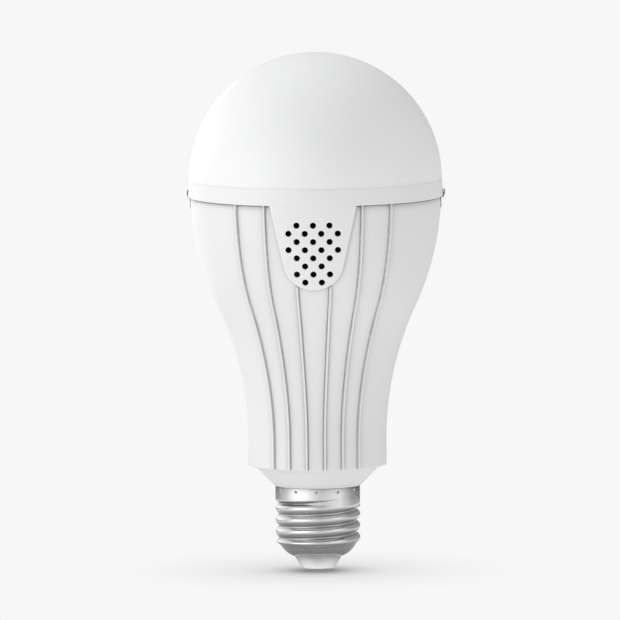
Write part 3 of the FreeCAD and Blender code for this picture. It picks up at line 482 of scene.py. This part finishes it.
def rib_lift(angle, height):
    """How far the wall stands out at an angle: thin ribs, each with a fine groove on its inner side."""
    for middle, short_pair in ((-math.pi / 2, True), (math.pi / 2, False)):
        turn = (angle - middle + math.pi) % (2 * math.pi) - math.pi
        for k in range(-3, 3):
            place = (k + 0.5) * RIB_PITCH
            place += math.copysign(rib_sweep(height), place)
            top = SHORT_RIB_TOP if short_pair and k in (-1, 0) else COLLAR_FOOT + 5
            across = (turn - place) * wall_radius(height)
            if abs(across) > 1.0 or not WAIST_FOOT <= height <= top:
                continue
            rise = RIB_HEIGHT * (1 - smoothstep(RIB_HALF_WIDTH, RIB_HALF_WIDTH + RIB_EDGE, abs(across)))
            inward = -across if place > 0 else across
            groove = smoothstep(RIB_HALF_WIDTH, RIB_HALF_WIDTH + 0.1, inward)
            groove -= smoothstep(RIB_HALF_WIDTH + 0.18, RIB_HALF_WIDTH + 0.36, inward)
            return rise - GROOVE_DEPTH * groove
    return 0.0


def rib_angles():
    """Angles round the housing, close together on and beside each rib."""
    angles = {round(angle, 6) for angle in even_angles(180)}
    for middle in (-math.pi / 2, math.pi / 2):
        for k in range(-3, 3):
            centre = middle + (k + 0.5) * RIB_PITCH
            for step in range(-24, 25):
                angles.add(round((centre + math.radians(step * 0.11)) % (2 * math.pi), 6))
    ordered = sorted(angles)
    kept = [ordered[0]]
    for angle in ordered[1:]:
        if angle - kept[-1] > math.radians(0.07):
            kept.append(angle)
    return kept


def make_housing():
    """Moulded body with its ribs, as one closed wall; the ribs alone cross the gap under the collar."""
    socket_foot = FOOT_HEIGHT - 4.2
    lower = rounded([
        (10.7, socket_foot, 0),
        (12.72, socket_foot, 0),
        (12.72, FOOT_HEIGHT, 0),
        (13.4, FOOT_HEIGHT, 0.2),
        (18.8, 31.3, 0.5),
        (WAIST_RADIUS, WAIST_FOOT, 0.35),
        (WAIST_RADIUS, WAIST_FOOT + 2, 0),
    ])
    rows = 110
    wall_foot = WAIST_FOOT + 2
    wall_top = COLLAR_FOOT - GAP_HEIGHT - 0.05
    wall = []
    for k in range(1, rows + 1):
        height = wall_foot + k * (wall_top - wall_foot) / rows
        hollow = HOLLOW_DEPTH * smoothstep(HOLLOW_FOOT, COLLAR_FOOT, height)
        wall.append((wall_radius(height) - hollow, height))
    gap = [(wall_radius(height) - GAP_DEPTH, height) for height in (COLLAR_FOOT - GAP_HEIGHT, COLLAR_FOOT)]
    neck = [
        (NECK_RADIUS, COLLAR_FOOT),
        (NECK_RADIUS, NECK_TOP),
        (NECK_BORE, NECK_TOP),
        (NECK_BORE, 114.2),
        (34.3, 114.2),
        (34.3, 113.4),
    ]
    inner_heights = [112.0 - k * (112.0 - 34.5) / 40 for k in range(41)]
    inside = [(wall_radius(height, -WALL), height) for height in inner_heights]
    foot = [(17.4, 33.8), (16.5, 31.3), (10.7, 25.5)]
    outline = lower + wall + gap + neck + inside + foot
    gap_start = len(lower) + len(wall)
    ribbed = range(len(lower) - 12, gap_start)

    def place(k, angle):
        radius, height = outline[k]
        if k in ribbed and height >= WAIST_FOOT - 0.05:
            radius += rib_lift(angle, max(height, WAIST_FOOT))
        if k in (gap_start, gap_start + 1):
            lift = rib_lift(angle, height)
            radius += GAP_DEPTH + lift if lift > RIB_HEIGHT / 2 else 0
        return radius, height

    piece = lathe("ribbed_housing", outline, rib_angles(), place)
    cut_sound_window(piece)
    sharpen(piece, 40)
    return piece


def tab_outline(offset, top, steps=40):
    """The tab's front view: straight tapering sides and a round lower end, moved out by the offset."""
    bend = TAB_BEND + offset
    side = bend / math.cos(TAB_SIDES) + (top - TAB_BEND_HEIGHT) * math.tan(TAB_SIDES)
    points = [(side, top)]
    first = -TAB_SIDES
    last = -math.pi + TAB_SIDES
    for step in range(steps + 1):
        angle = first + (last - first) * step / steps
        points.append((bend * math.cos(angle), TAB_BEND_HEIGHT + bend * math.sin(angle)))
    points.append((-side, top))
    return points


def prism(name, outline, near, far):
    """A solid with a front-view outline (x, z), from one depth to another along Y."""
    count = len(outline)
    vertices = [(x, near, z) for x, z in outline] + [(x, far, z) for x, z in outline]
    faces = [list(range(count)), list(range(2 * count - 1, count - 1, -1))]
    for k in range(count):
        following = (k + 1) % count
        faces.append([following, k, k + count, following + count])
    return new_object(name, vertices, faces, smooth=False)


def apply_modifiers(piece):
    view = bpy.context.evaluated_depsgraph_get()
    mesh = bpy.data.meshes.new_from_object(piece.evaluated_get(view))
    piece.modifiers.clear()
    piece.data = mesh


def cut_sound_window(piece):
    """Open the wall behind the grille's holes."""
    outline = [
        (WINDOW_HALF, WINDOW_SHOULDER),
        (WINDOW_CORNER, WINDOW_TOP),
        (-WINDOW_CORNER, WINDOW_TOP),
        (-WINDOW_HALF, WINDOW_SHOULDER),
    ]
    for step in range(25):
        angle = math.pi + math.pi * step / 24
        outline.append((WINDOW_HALF * math.cos(angle), TAB_BEND_HEIGHT + WINDOW_HALF * math.sin(angle)))
    cutter = prism("window_cutter", outline, -20, -45)
    modifier = piece.modifiers.new("window", "BOOLEAN")
    modifier.object = cutter
    modifier.operation = "DIFFERENCE"
    modifier.solver = "EXACT"
    apply_modifiers(piece)
    bpy.data.objects.remove(cutter)


def make_collar_ring():
    """Collar that flares gently to its foot, flush with the dome above."""
    outline = rounded([
        (COLLAR_BORE, COLLAR_FOOT, 0.1),
        (COLLAR_FOOT_RADIUS, COLLAR_FOOT, 0.15),
        (COLLAR_TOP_RADIUS, COLLAR_TOP, 0),
        (COLLAR_BORE, COLLAR_TOP, 0),
    ])
    piece = lathe("collar_ring", outline, even_angles(288))
    sharpen(piece)
    return piece


def hole_centres():
    """Front-view centres (x, z) of the grille's holes, row by row from the top."""
    for row, count in enumerate(GRILLE_ROWS):
        for k in range(count):
            yield (2 * k - count + 1) * HOLE_PITCH, TOP_ROW - row * HOLE_ROW


def flat_tab(thickness, edge, top):
    """The tab and its holes as a flat plate with rounded edges: x across, y up, z through."""
    curve = bpy.data.curves.new("tab_plate", "CURVE")
    curve.dimensions = "2D"
    curve.fill_mode = "BOTH"
    curve.extrude = thickness / 2 - edge
    curve.bevel_depth = edge
    curve.bevel_resolution = 4
    curve.offset = -edge
    loops = [tab_outline(0, top)]
    for x, z in hole_centres():
        ring = [2 * math.pi * k / 32 for k in range(32)]
        loops.append([(x + HOLE_RADIUS * math.cos(a), z + HOLE_RADIUS * math.sin(a)) for a in ring])
    for loop in loops:
        spline = curve.splines.new("POLY")
        spline.points.add(len(loop) - 1)
        for point, (x, z) in zip(spline.points, loop):
            point.co = (x, z, 0, 1)
        spline.use_cyclic_u = True
    flat = bpy.data.objects.new("tab_plate", curve)
    bpy.context.scene.collection.objects.link(flat)
    bpy.context.view_layer.update()
    view = bpy.context.evaluated_depsgraph_get()
    mesh = bpy.data.meshes.new_from_object(flat.evaluated_get(view))
    bpy.data.objects.remove(flat)
    return mesh


def cut_every_millimetre(plate):
    """Divide the flat plate by a grid of planes, so that it can bend."""
    for axis, low, high in ((0, -15, 15), (1, 88, 118)):
        for k in range(low, high + 1):
            spot = [0, 0, 0]
            normal = [0, 0, 0]
            spot[axis] = k + 0.013
            normal[axis] = 1
            geometry = plate.verts[:] + plate.edges[:] + plate.faces[:]
            bmesh.ops.bisect_plane(plate, geom=geometry, plane_co=spot, plane_no=normal, dist=1e-5)


def make_tab():
    """Perforated tab: the flat plate, bent on to the housing's wall."""
    thickness = 1.5
    top = COLLAR_FOOT + 1.2
    mesh = flat_tab(thickness, 0.16, top)
    plate = bmesh.new()
    plate.from_mesh(mesh)
    bmesh.ops.remove_doubles(plate, verts=plate.verts, dist=1e-4)
    cut_every_millimetre(plate)
    for vertex in plate.verts:
        x, z, depth = vertex.co
        proud = TAB_PROUD - 0.12 * smoothstep(COLLAR_FOOT - 0.4, top, z)
        radius = wall_radius(z, proud - thickness / 2 + depth)
        vertex.co = Vector((x, -math.sqrt(radius ** 2 - x ** 2), z)) * MM
    bmesh.ops.recalc_face_normals(plate, faces=plate.faces)
    for face in plate.faces:
        face.smooth = True
    plate.to_mesh(mesh)
    plate.free()
    piece = bpy.data.objects.new("grille_tab", mesh)
    bpy.context.scene.collection.objects.link(piece)
    sharpen(piece, 50)
    return piece


def make_clips():
    """Two spring clips: a leaf lies on the collar, bends in under its foot and ends on the wall."""
    bend_top = 116.0
    bend_foot = 114.9
    leaf_foot = 115.3
    pieces = []
    for side, name, inset in ((-1, "left", LEFT_CLIP_INSET), (1, "right", 0)):
        outside = CLIP_RADIUS - inset
        outline = rounded([
            (outside, CLIP_TOP, 0.15),
            (outside, bend_top, 0.8),
            (CLIP_FOOT_OUTSIDE, bend_foot, 0.3),
            (CLIP_FOOT_OUTSIDE, CLIP_FOOT, 0.08),
            (CLIP_FOOT_INSIDE, CLIP_FOOT, 0.08),
            (CLIP_FOOT_INSIDE, leaf_foot, 0),
            (outside - CLIP_LEAF, leaf_foot, 0),
            (outside - CLIP_LEAF, CLIP_TOP, 0.1),
        ], 5)
        count = len(outline)
        vertices = [(side * x, y, z) for y in (-CLIP_HALF_WIDTH, CLIP_HALF_WIDTH) for x, z in outline]
        faces = [list(range(count)), list(range(count, 2 * count))]
        for k in range(count):
            following = (k + 1) % count
            faces.append([k, following, following + count, k + count])
        piece = new_object(f"collar_clip_{name}", vertices, faces, smooth=False)
        bevel = piece.modifiers.new("edges", "BEVEL")
        bevel.width = 0.06 * MM
        bevel.segments = 2
        apply_modifiers(piece)
        pieces.append(piece)
    return pieces


def thread_lift(angle, height):
    """Rounded thread: 0 at the root and 1 at the crest; its last groove runs out under the band."""
    turn = (angle % (2 * math.pi)) / (2 * math.pi)
    phase = (height - CREST_HEIGHT) / THREAD_PITCH - turn
    wave = 0.5 + 0.5 * math.cos(2 * math.pi * phase)
    if phase > 1.5:
        wave = smoothstep(1.5, 1.74, phase)
    if phase > 1.0:
        wave = max(wave, smoothstep(0.68, 0.86, turn))
    return wave * (1.6 - 0.6 * wave) * smoothstep(7.0, 8.6, height)


def shell_radius(angle, height):
    """Outside radius of the pressed shell at an angle and a height."""
    base = THREAD_ROOT
    if height < CUP_TOP:
        share = (CUP_TOP - height) / (CUP_TOP - SHELL_FOOT)
        base = SHELL_MOUTH + (THREAD_ROOT - SHELL_MOUTH) * (1 - share ** 1.4) ** (1 / 1.4)
    return base + (THREAD_CREST - THREAD_ROOT) * thread_lift(angle, height)


def crimp_depth(angle, height):
    """Small round dents along the top of the plain band."""
    step = 2 * math.pi / CRIMP_COUNT
    offset = ((angle + math.pi / 2 + step / 2) % step - step / 2) * THREAD_CREST
    distance = math.hypot(offset, height - CRIMP_HEIGHT)
    return CRIMP_DEPTH * (1 - smoothstep(0.15, 0.5, distance))


def make_screw_shell():
    """Thin rolled shell, as thin at the thread's crests as at its roots."""
    cup_steps = [SHELL_FOOT + 4.5 * (k / 26) ** 1.6 for k in range(27)]
    heights = cup_steps + [CUP_TOP + k * 0.16 for k in range(1, 108)]
    heights = [height for height in heights if height < FOOT_HEIGHT - 0.12] + [FOOT_HEIGHT - 0.1]
    count = len(heights)
    outline = [(1.0, height) for height in heights] + [(1.0, height) for height in reversed(heights)]

    def place(k, angle):
        outside = k < count
        height = heights[k] if outside else heights[2 * count - 1 - k]
        radius = shell_radius(angle, height) - crimp_depth(angle, height)
        if outside:
            return radius, height
        return radius - SHELL_WALL, height + (0.3 if height < 5.0 else 0.0)

    piece = lathe("rolled_shell", outline, even_angles(480), place)
    sharpen(piece, 50)
    return piece


def make_insulator():
    """Tapered insulator with a round lower edge, a seat for the contact and a bore for its stem."""
    outline = rounded([
        (3.25, 0, 0.05),
        (5.15, 0, 0.75),
        (7.25, 3.75, 0.1),
        (7.5, 3.95, 0.1),
        (7.5, 9.0, 0),
        (5.5, 9.0, 0),
        (1.25, 3.6, 0),
        (1.25, 0.65, 0),
        (3.25, 0.65, 0),
    ])
    piece = lathe("tip_insulator_body", outline, even_angles(128))
    sharpen(piece)
    return piece


def dress(piece, material, slot, *nodes):
    """Give a detailed piece its material and hide the CAD node that it stands for; the slot is not used.
    """
    piece.data.materials.clear()
    piece.data.materials.append(material)
    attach(piece, BODY)
    if nodes:
        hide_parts(*nodes)


OPAL = (0.98, 0.98, 0.985)
dome_plastic = moulded_plastic("opal_plastic", OPAL, rough=0.36, grain=0.002, subsurface=0.25)
# The housing's and the collar's plastics carry painted shade: darker beside the ribs, round the tab and
# under the collar.
housing_plastic = moulded_plastic("housing_plastic", (0.86, 0.86, 0.86), rough=0.42, reach=3.5, depth=0.62)
collar_plastic = moulded_plastic("collar_plastic", (0.885, 0.885, 0.885), rough=0.40, reach=2.0)
insulator_plastic = insulator_painted_shade("insulator_plastic", 0.95, 0.5)
nickel = nickel_plate("nickel_plate", (0.78, 0.78, 0.78))
# The clips' dark grey is painted shade: it draws the dark strokes at the collar's two sides.
clip_painted_shade = dull_solid("spring_steel", (0.33, 0.33, 0.335), 0.4, 0.02)

dress(make_dome(), dome_plastic, "opal_dome", "diffuser_dome")
dress(make_housing(), housing_plastic, "white_housing", "housing")
dress(make_collar_ring(), collar_plastic, "white_collar", "grille_collar")
dress(make_tab(), collar_plastic, "white_collar", "grille_collar")
for clip in make_clips():
    dress(clip, clip_painted_shade, "spring_steel", "collar_clips")
dress(make_screw_shell(), nickel, "nickel_shell", "screw_shell")
dress(make_insulator(), insulator_plastic, "white_insulator", "tip_insulator")

INNER_MATERIALS = {
    "centre_contact": nickel,
    "dome_seal": dull_solid("silicone_bead", (0.78, 0.78, 0.76), 0.5, 0.02),
    "heat_spreader": brushed_metal("pressed_aluminium", (0.78, 0.78, 0.79)),
    "led_board": moulded_plastic("white_solder_mask", (0.85, 0.85, 0.83), rough=0.3),
    "led_chips": dull_solid("phosphor_gel", (0.90, 0.68, 0.12), 0.3, 0.01),
    "led_connector": moulded_plastic("connector_nylon", (0.82, 0.80, 0.72)),
    "led_lead_pair": dull_solid("red_insulation", (0.55, 0.03, 0.025), 0.4, 0.01),
    "speaker_basket": dull_solid("black_steel_paint", (0.035, 0.035, 0.038), 0.45, 0.02),
    "speaker_magnet": dull_solid("ferrite_magnet", (0.07, 0.07, 0.075), 0.6),
    "speaker_cone": dull_solid("paper_cone", (0.06, 0.06, 0.06), 0.85, 0.06, 2200, 0.3),
    "voice_coil": wound_wire("coil_wire", (0.70, 0.33, 0.14), "Y", 900),
    "speaker_surround": dull_solid("black_rubber", (0.025, 0.025, 0.025), 0.5, 0.01),
    "speaker_box": moulded_plastic("black_plastic", (0.03, 0.03, 0.031), rough=0.5),
    "speaker_gasket": dull_solid("black_foam", (0.03, 0.03, 0.03), 0.95, 0.2, 1200, 0.4),
    "acoustic_cloth": woven_cloth("black_cloth", (0.004, 0.004, 0.004)),
    "driver_liner": clear_film("liner_film", (0.85, 0.87, 0.88)),
    "driver_board": circuit_board("green_board", (0.03, 0.16, 0.07)),
    "transformer_core": dull_solid("black_ferrite", (0.05, 0.05, 0.055), 0.55),
    "transformer_winding": wound_wire("yellow_tape", (0.75, 0.55, 0.08), "Z", 260),
    "bulk_capacitor": moulded_plastic("capacitor_sleeve", (0.03, 0.035, 0.08), rough=0.28),
    "film_capacitor": moulded_plastic("film_box", (0.78, 0.52, 0.06), rough=0.3),
    "bridge_rectifier": dull_solid("black_epoxy", (0.025, 0.025, 0.025), 0.5),
    "fuse_resistor": dull_solid("resistor_enamel", (0.20, 0.38, 0.30), 0.45),
    "wireless_module": brushed_metal("shield_tin", (0.74, 0.74, 0.72), 0.25),
    "speaker_lead_pair": dull_solid("black_insulation", (0.03, 0.03, 0.03), 0.4, 0.01),
    "neutral_lead": dull_solid("white_insulation", (0.78, 0.78, 0.76), 0.4, 0.01),
    "led_board_screws": brushed_metal("zinc_screws", (0.68, 0.69, 0.71), 0.28),
    "speaker_yoke": brushed_metal("zinc_steel", (0.66, 0.67, 0.66), 0.3),
}
SAME_AS = {
    "speaker_top_plate": "speaker_yoke",
    "antenna_post": "speaker_yoke",
    "speaker_screws": "led_board_screws",
    "speaker_bracket": "heat_spreader",
    "speaker_dust_cap": "speaker_cone",
    "control_board": "driver_board",
    "output_capacitor": "bulk_capacitor",
    "control_capacitors": "bulk_capacitor",
    "line_choke": "transformer_core",
    "amplifier_chip": "bridge_rectifier",
    "live_lead": "led_lead_pair",
}
for node, twin in SAME_AS.items():
    INNER_MATERIALS[node] = INNER_MATERIALS[twin]
for node, material in INNER_MATERIALS.items():
    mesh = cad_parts[node].data
    mesh.materials.clear()
    mesh.materials.append(material)


# ---------------------------------------------------------------- floor, light and camera

def floor_material(glow, reach, near_reach):
    """An evenly glowing pale surface that darkens softly where something stands close above it.

    The reach (in metres) is that of the soft shadow, and the near reach that of the darker one at the tip.
    """
    material = bpy.data.materials.new("pale_floor")
    material.use_nodes = True
    tree = material.node_tree
    tree.nodes.clear()
    output = tree.nodes.new("ShaderNodeOutputMaterial")
    light = tree.nodes.new("ShaderNodeEmission")
    openness = tree.nodes.new("ShaderNodeAmbientOcclusion")
    openness.samples = 16
    openness.inputs["Distance"].default_value = reach
    ramp = tree.nodes.new("ShaderNodeValToRGB")
    marks = ramp.color_ramp.elements
    stops = ((0.25, 0.30), (0.48, 0.60), (0.60, 0.76), (0.72, 0.85), (0.83, 0.925), (0.95, 1.0))
    while len(marks) < len(stops):
        marks.new(0.5)
    for mark, (position, share) in zip(marks, stops):
        mark.position = position
        mark.color = (share * glow, share * glow, share * glow, 1)
    contact = tree.nodes.new("ShaderNodeAmbientOcclusion")
    contact.samples = 16
    contact.inputs["Distance"].default_value = near_reach
    touch = tree.nodes.new("ShaderNodeMapRange")
    touch.inputs["From Min"].default_value = 0.45
    touch.inputs["From Max"].default_value = 0.95
    touch.inputs["To Min"].default_value = 0.92
    joined = tree.nodes.new("ShaderNodeMixRGB")
    joined.blend_type = "MULTIPLY"
    joined.inputs["Fac"].default_value = 1
    tree.links.new(openness.outputs["AO"], ramp.inputs["Fac"])
    tree.links.new(contact.outputs["AO"], touch.inputs["Value"])
    tree.links.new(ramp.outputs["Color"], joined.inputs["Color1"])
    tree.links.new(touch.outputs["Result"], joined.inputs["Color2"])
    tree.links.new(joined.outputs["Color"], light.inputs["Color"])
    tree.links.new(light.outputs[0], output.inputs["Surface"])
    return material


def make_floor():
    """Wide pale floor, just under the tip."""
    height = FLOOR_HEIGHT * MM
    bpy.ops.mesh.primitive_circle_add(vertices=96, radius=12, fill_type="NGON", location=(0, 0, height))
    floor = bpy.context.object
    floor.name = "floor"
    floor.data.materials.append(floor_material(0.93, 0.06, 0.012))


def make_reflection_tent():
    """Grey cards round the bulb, on the floor and over it, which only reflections see."""
    tones = ((-165, 0.3), (-134, 0.2), (-90, 0.7), (-62, 1.5), (-36, 1.5), (-14, 1.0),
             (8, 0.62), (33, 0.8), (60, 0.95), (94, 0.3), (134, 0.1), (165, 0.2))
    material = bpy.data.materials.new("card_tones")
    material.use_nodes = True
    tree = material.node_tree
    tree.nodes.clear()
    output = tree.nodes.new("ShaderNodeOutputMaterial")
    light = tree.nodes.new("ShaderNodeEmission")
    tone = tree.nodes.new("ShaderNodeVertexColor")
    tone.layer_name = "tone"
    tree.links.new(tone.outputs["Color"], light.inputs["Color"])
    tree.links.new(light.outputs[0], output.inputs["Surface"])
    radius = 200
    rows = (0.5, 18, 30, 200)
    vertices = []
    shade = []
    for azimuth, value in tones:
        turn = math.radians(azimuth - 90)
        above = value
        if abs(azimuth) > 90:
            above = LEFT_EDGE_TONE if azimuth < 0 else RIGHT_EDGE_TONE
        for height, row_tone in zip(rows, (value, value, above, above)):
            vertices.append((radius * math.cos(turn), radius * math.sin(turn), height))
            shade.append(row_tone)
    faces = []
    for column in range(len(tones) - 1):
        for row in range(len(rows) - 1):
            corner = column * len(rows) + row
            faces.append([corner, corner + len(rows), corner + len(rows) + 1, corner + 1])
    ring = len(vertices)
    for radius, value in ((9, 0.24), (45, 0.62), (110, 0.8)):
        for k in range(24):
            turn = 2 * math.pi * k / 24
            vertices.append((radius * math.cos(turn), radius * math.sin(turn), 0.3))
            shade.append(value)
    for row in (ring, ring + 24):
        for k in range(24):
            following = (k + 1) % 24
            faces.append([row + k, row + following, row + 24 + following, row + 24 + k])
    lid = len(vertices)
    for k in range(24):
        turn = 2 * math.pi * k / 24
        vertices.append((260 * math.cos(turn), 260 * math.sin(turn), 330))
        shade.append(0.1)
    faces.append(list(range(lid, lid + 24)))
    tent = new_object("reflection_tent", vertices, faces, smooth=False)
    layer = tent.data.color_attributes.new("tone", "FLOAT_COLOR", "POINT")
    for k, value in enumerate(shade):
        layer.data[k].color = (value, value, value, 1)
    tent.data.materials.append(material)
    tent.visible_camera = False
    tent.visible_diffuse = False
    tent.visible_shadow = False
    tent.visible_transmission = False
    tent.visible_volume_scatter = False


def add_soft_box(name, azimuth, elevation, power, distance=1.2, size=0.5):
    """A soft box that faces the middle of the bulb; azimuth 0 is in front, positive to the right."""
    data = bpy.data.lights.new(name, "AREA")
    data.shape = "RECTANGLE"
    data.size = size
    data.size_y = size
    data.energy = power
    light = bpy.data.objects.new(name, data)
    bpy.context.scene.collection.objects.link(light)
    flat = distance * math.cos(math.radians(elevation))
    middle = Vector((0, 0, 0.08))
    light.location = middle + Vector((
        flat * math.sin(math.radians(azimuth)),
        -flat * math.cos(math.radians(azimuth)),
        distance * math.sin(math.radians(elevation)),
    ))
    light.rotation_euler = (middle - light.location).to_track_quat("-Z", "Y").to_euler()
    light.visible_glossy = False


def add_floor_bounce():
    """Light that the pale floor throws back up on to the lower faces."""
    data = bpy.data.lights.new("floor_bounce", "AREA")
    data.size = 0.5
    data.energy = 0.055
    light = bpy.data.objects.new("floor_bounce", data)
    bpy.context.scene.collection.objects.link(light)
    light.location = (0, 0, 0.5 * FLOOR_HEIGHT * MM)
    light.rotation_euler = (math.pi, 0, 0)
    light.visible_glossy = False
    light.visible_camera = False


def add_tip_spot(side):
    """Narrow low beam that brightens the lower end of the insulator, from one side of the front."""
    data = bpy.data.lights.new("tip_spot", "SPOT")
    data.energy = 2.6
    data.spot_size = math.radians(1.5)
    data.spot_blend = 1.0
    data.shadow_soft_size = 0.002
    light = bpy.data.objects.new("tip_spot", data)
    bpy.context.scene.collection.objects.link(light)
    light.location = (side * 0.17, -0.36, 0.004)
    target = Vector((side * MM, 0, 0.2 * MM))
    light.rotation_euler = (target - light.location).to_track_quat("-Z", "Y").to_euler()
    light.visible_glossy = False


def make_light():
    """An even white sky, five soft boxes, the floor's bounce and a narrow pair of beams on the tip."""
    world = bpy.data.worlds.new("studio")
    bpy.context.scene.world = world
    world.use_nodes = True
    sky = world.node_tree.nodes["Background"]
    sky.inputs["Color"].default_value = (1, 1, 1, 1)
    sky.inputs["Strength"].default_value = 0.43
    add_soft_box("left_box", -90, 46, 4.5)
    add_soft_box("front_box", -30, 28, 2.85)
    add_soft_box("left_rim_box", -150, 40, 2.5)
    add_soft_box("right_rim_box", 120, 40, 2.7)
    add_soft_box("top_box", 0, 88, 0.15)
    add_floor_bounce()
    for side in (-1, 1):
        add_tip_spot(side)


def make_camera():
    """Long lens, almost level, a little to the right of the tab."""
    picture_width = 191.8 * MM
    distance = 5.0
    elevation = math.radians(5.25)
    azimuth = math.radians(1.35)
    target = Vector((-2.0 * MM, 0, 80.1 * MM))
    data = bpy.data.cameras.new("camera")
    data.sensor_width = 36
    data.lens = data.sensor_width * distance / picture_width
    data.clip_end = 60
    camera = bpy.data.objects.new("camera", data)
    bpy.context.scene.collection.objects.link(camera)
    flat = distance * math.cos(elevation)
    offset = Vector((
        flat * math.sin(azimuth),
        -flat * math.cos(azimuth),
        distance * math.sin(elevation),
    ))
    camera.location = target + offset
    camera.rotation_euler = (-offset).to_track_quat("-Z", "Y").to_euler()
    camera.rotation_euler.rotate_axis("Z", math.radians(-0.41))
    bpy.context.scene.camera = camera


make_floor()
make_reflection_tent()
make_light()
make_camera()
bpy.context.scene.view_settings.view_transform = "Standard"
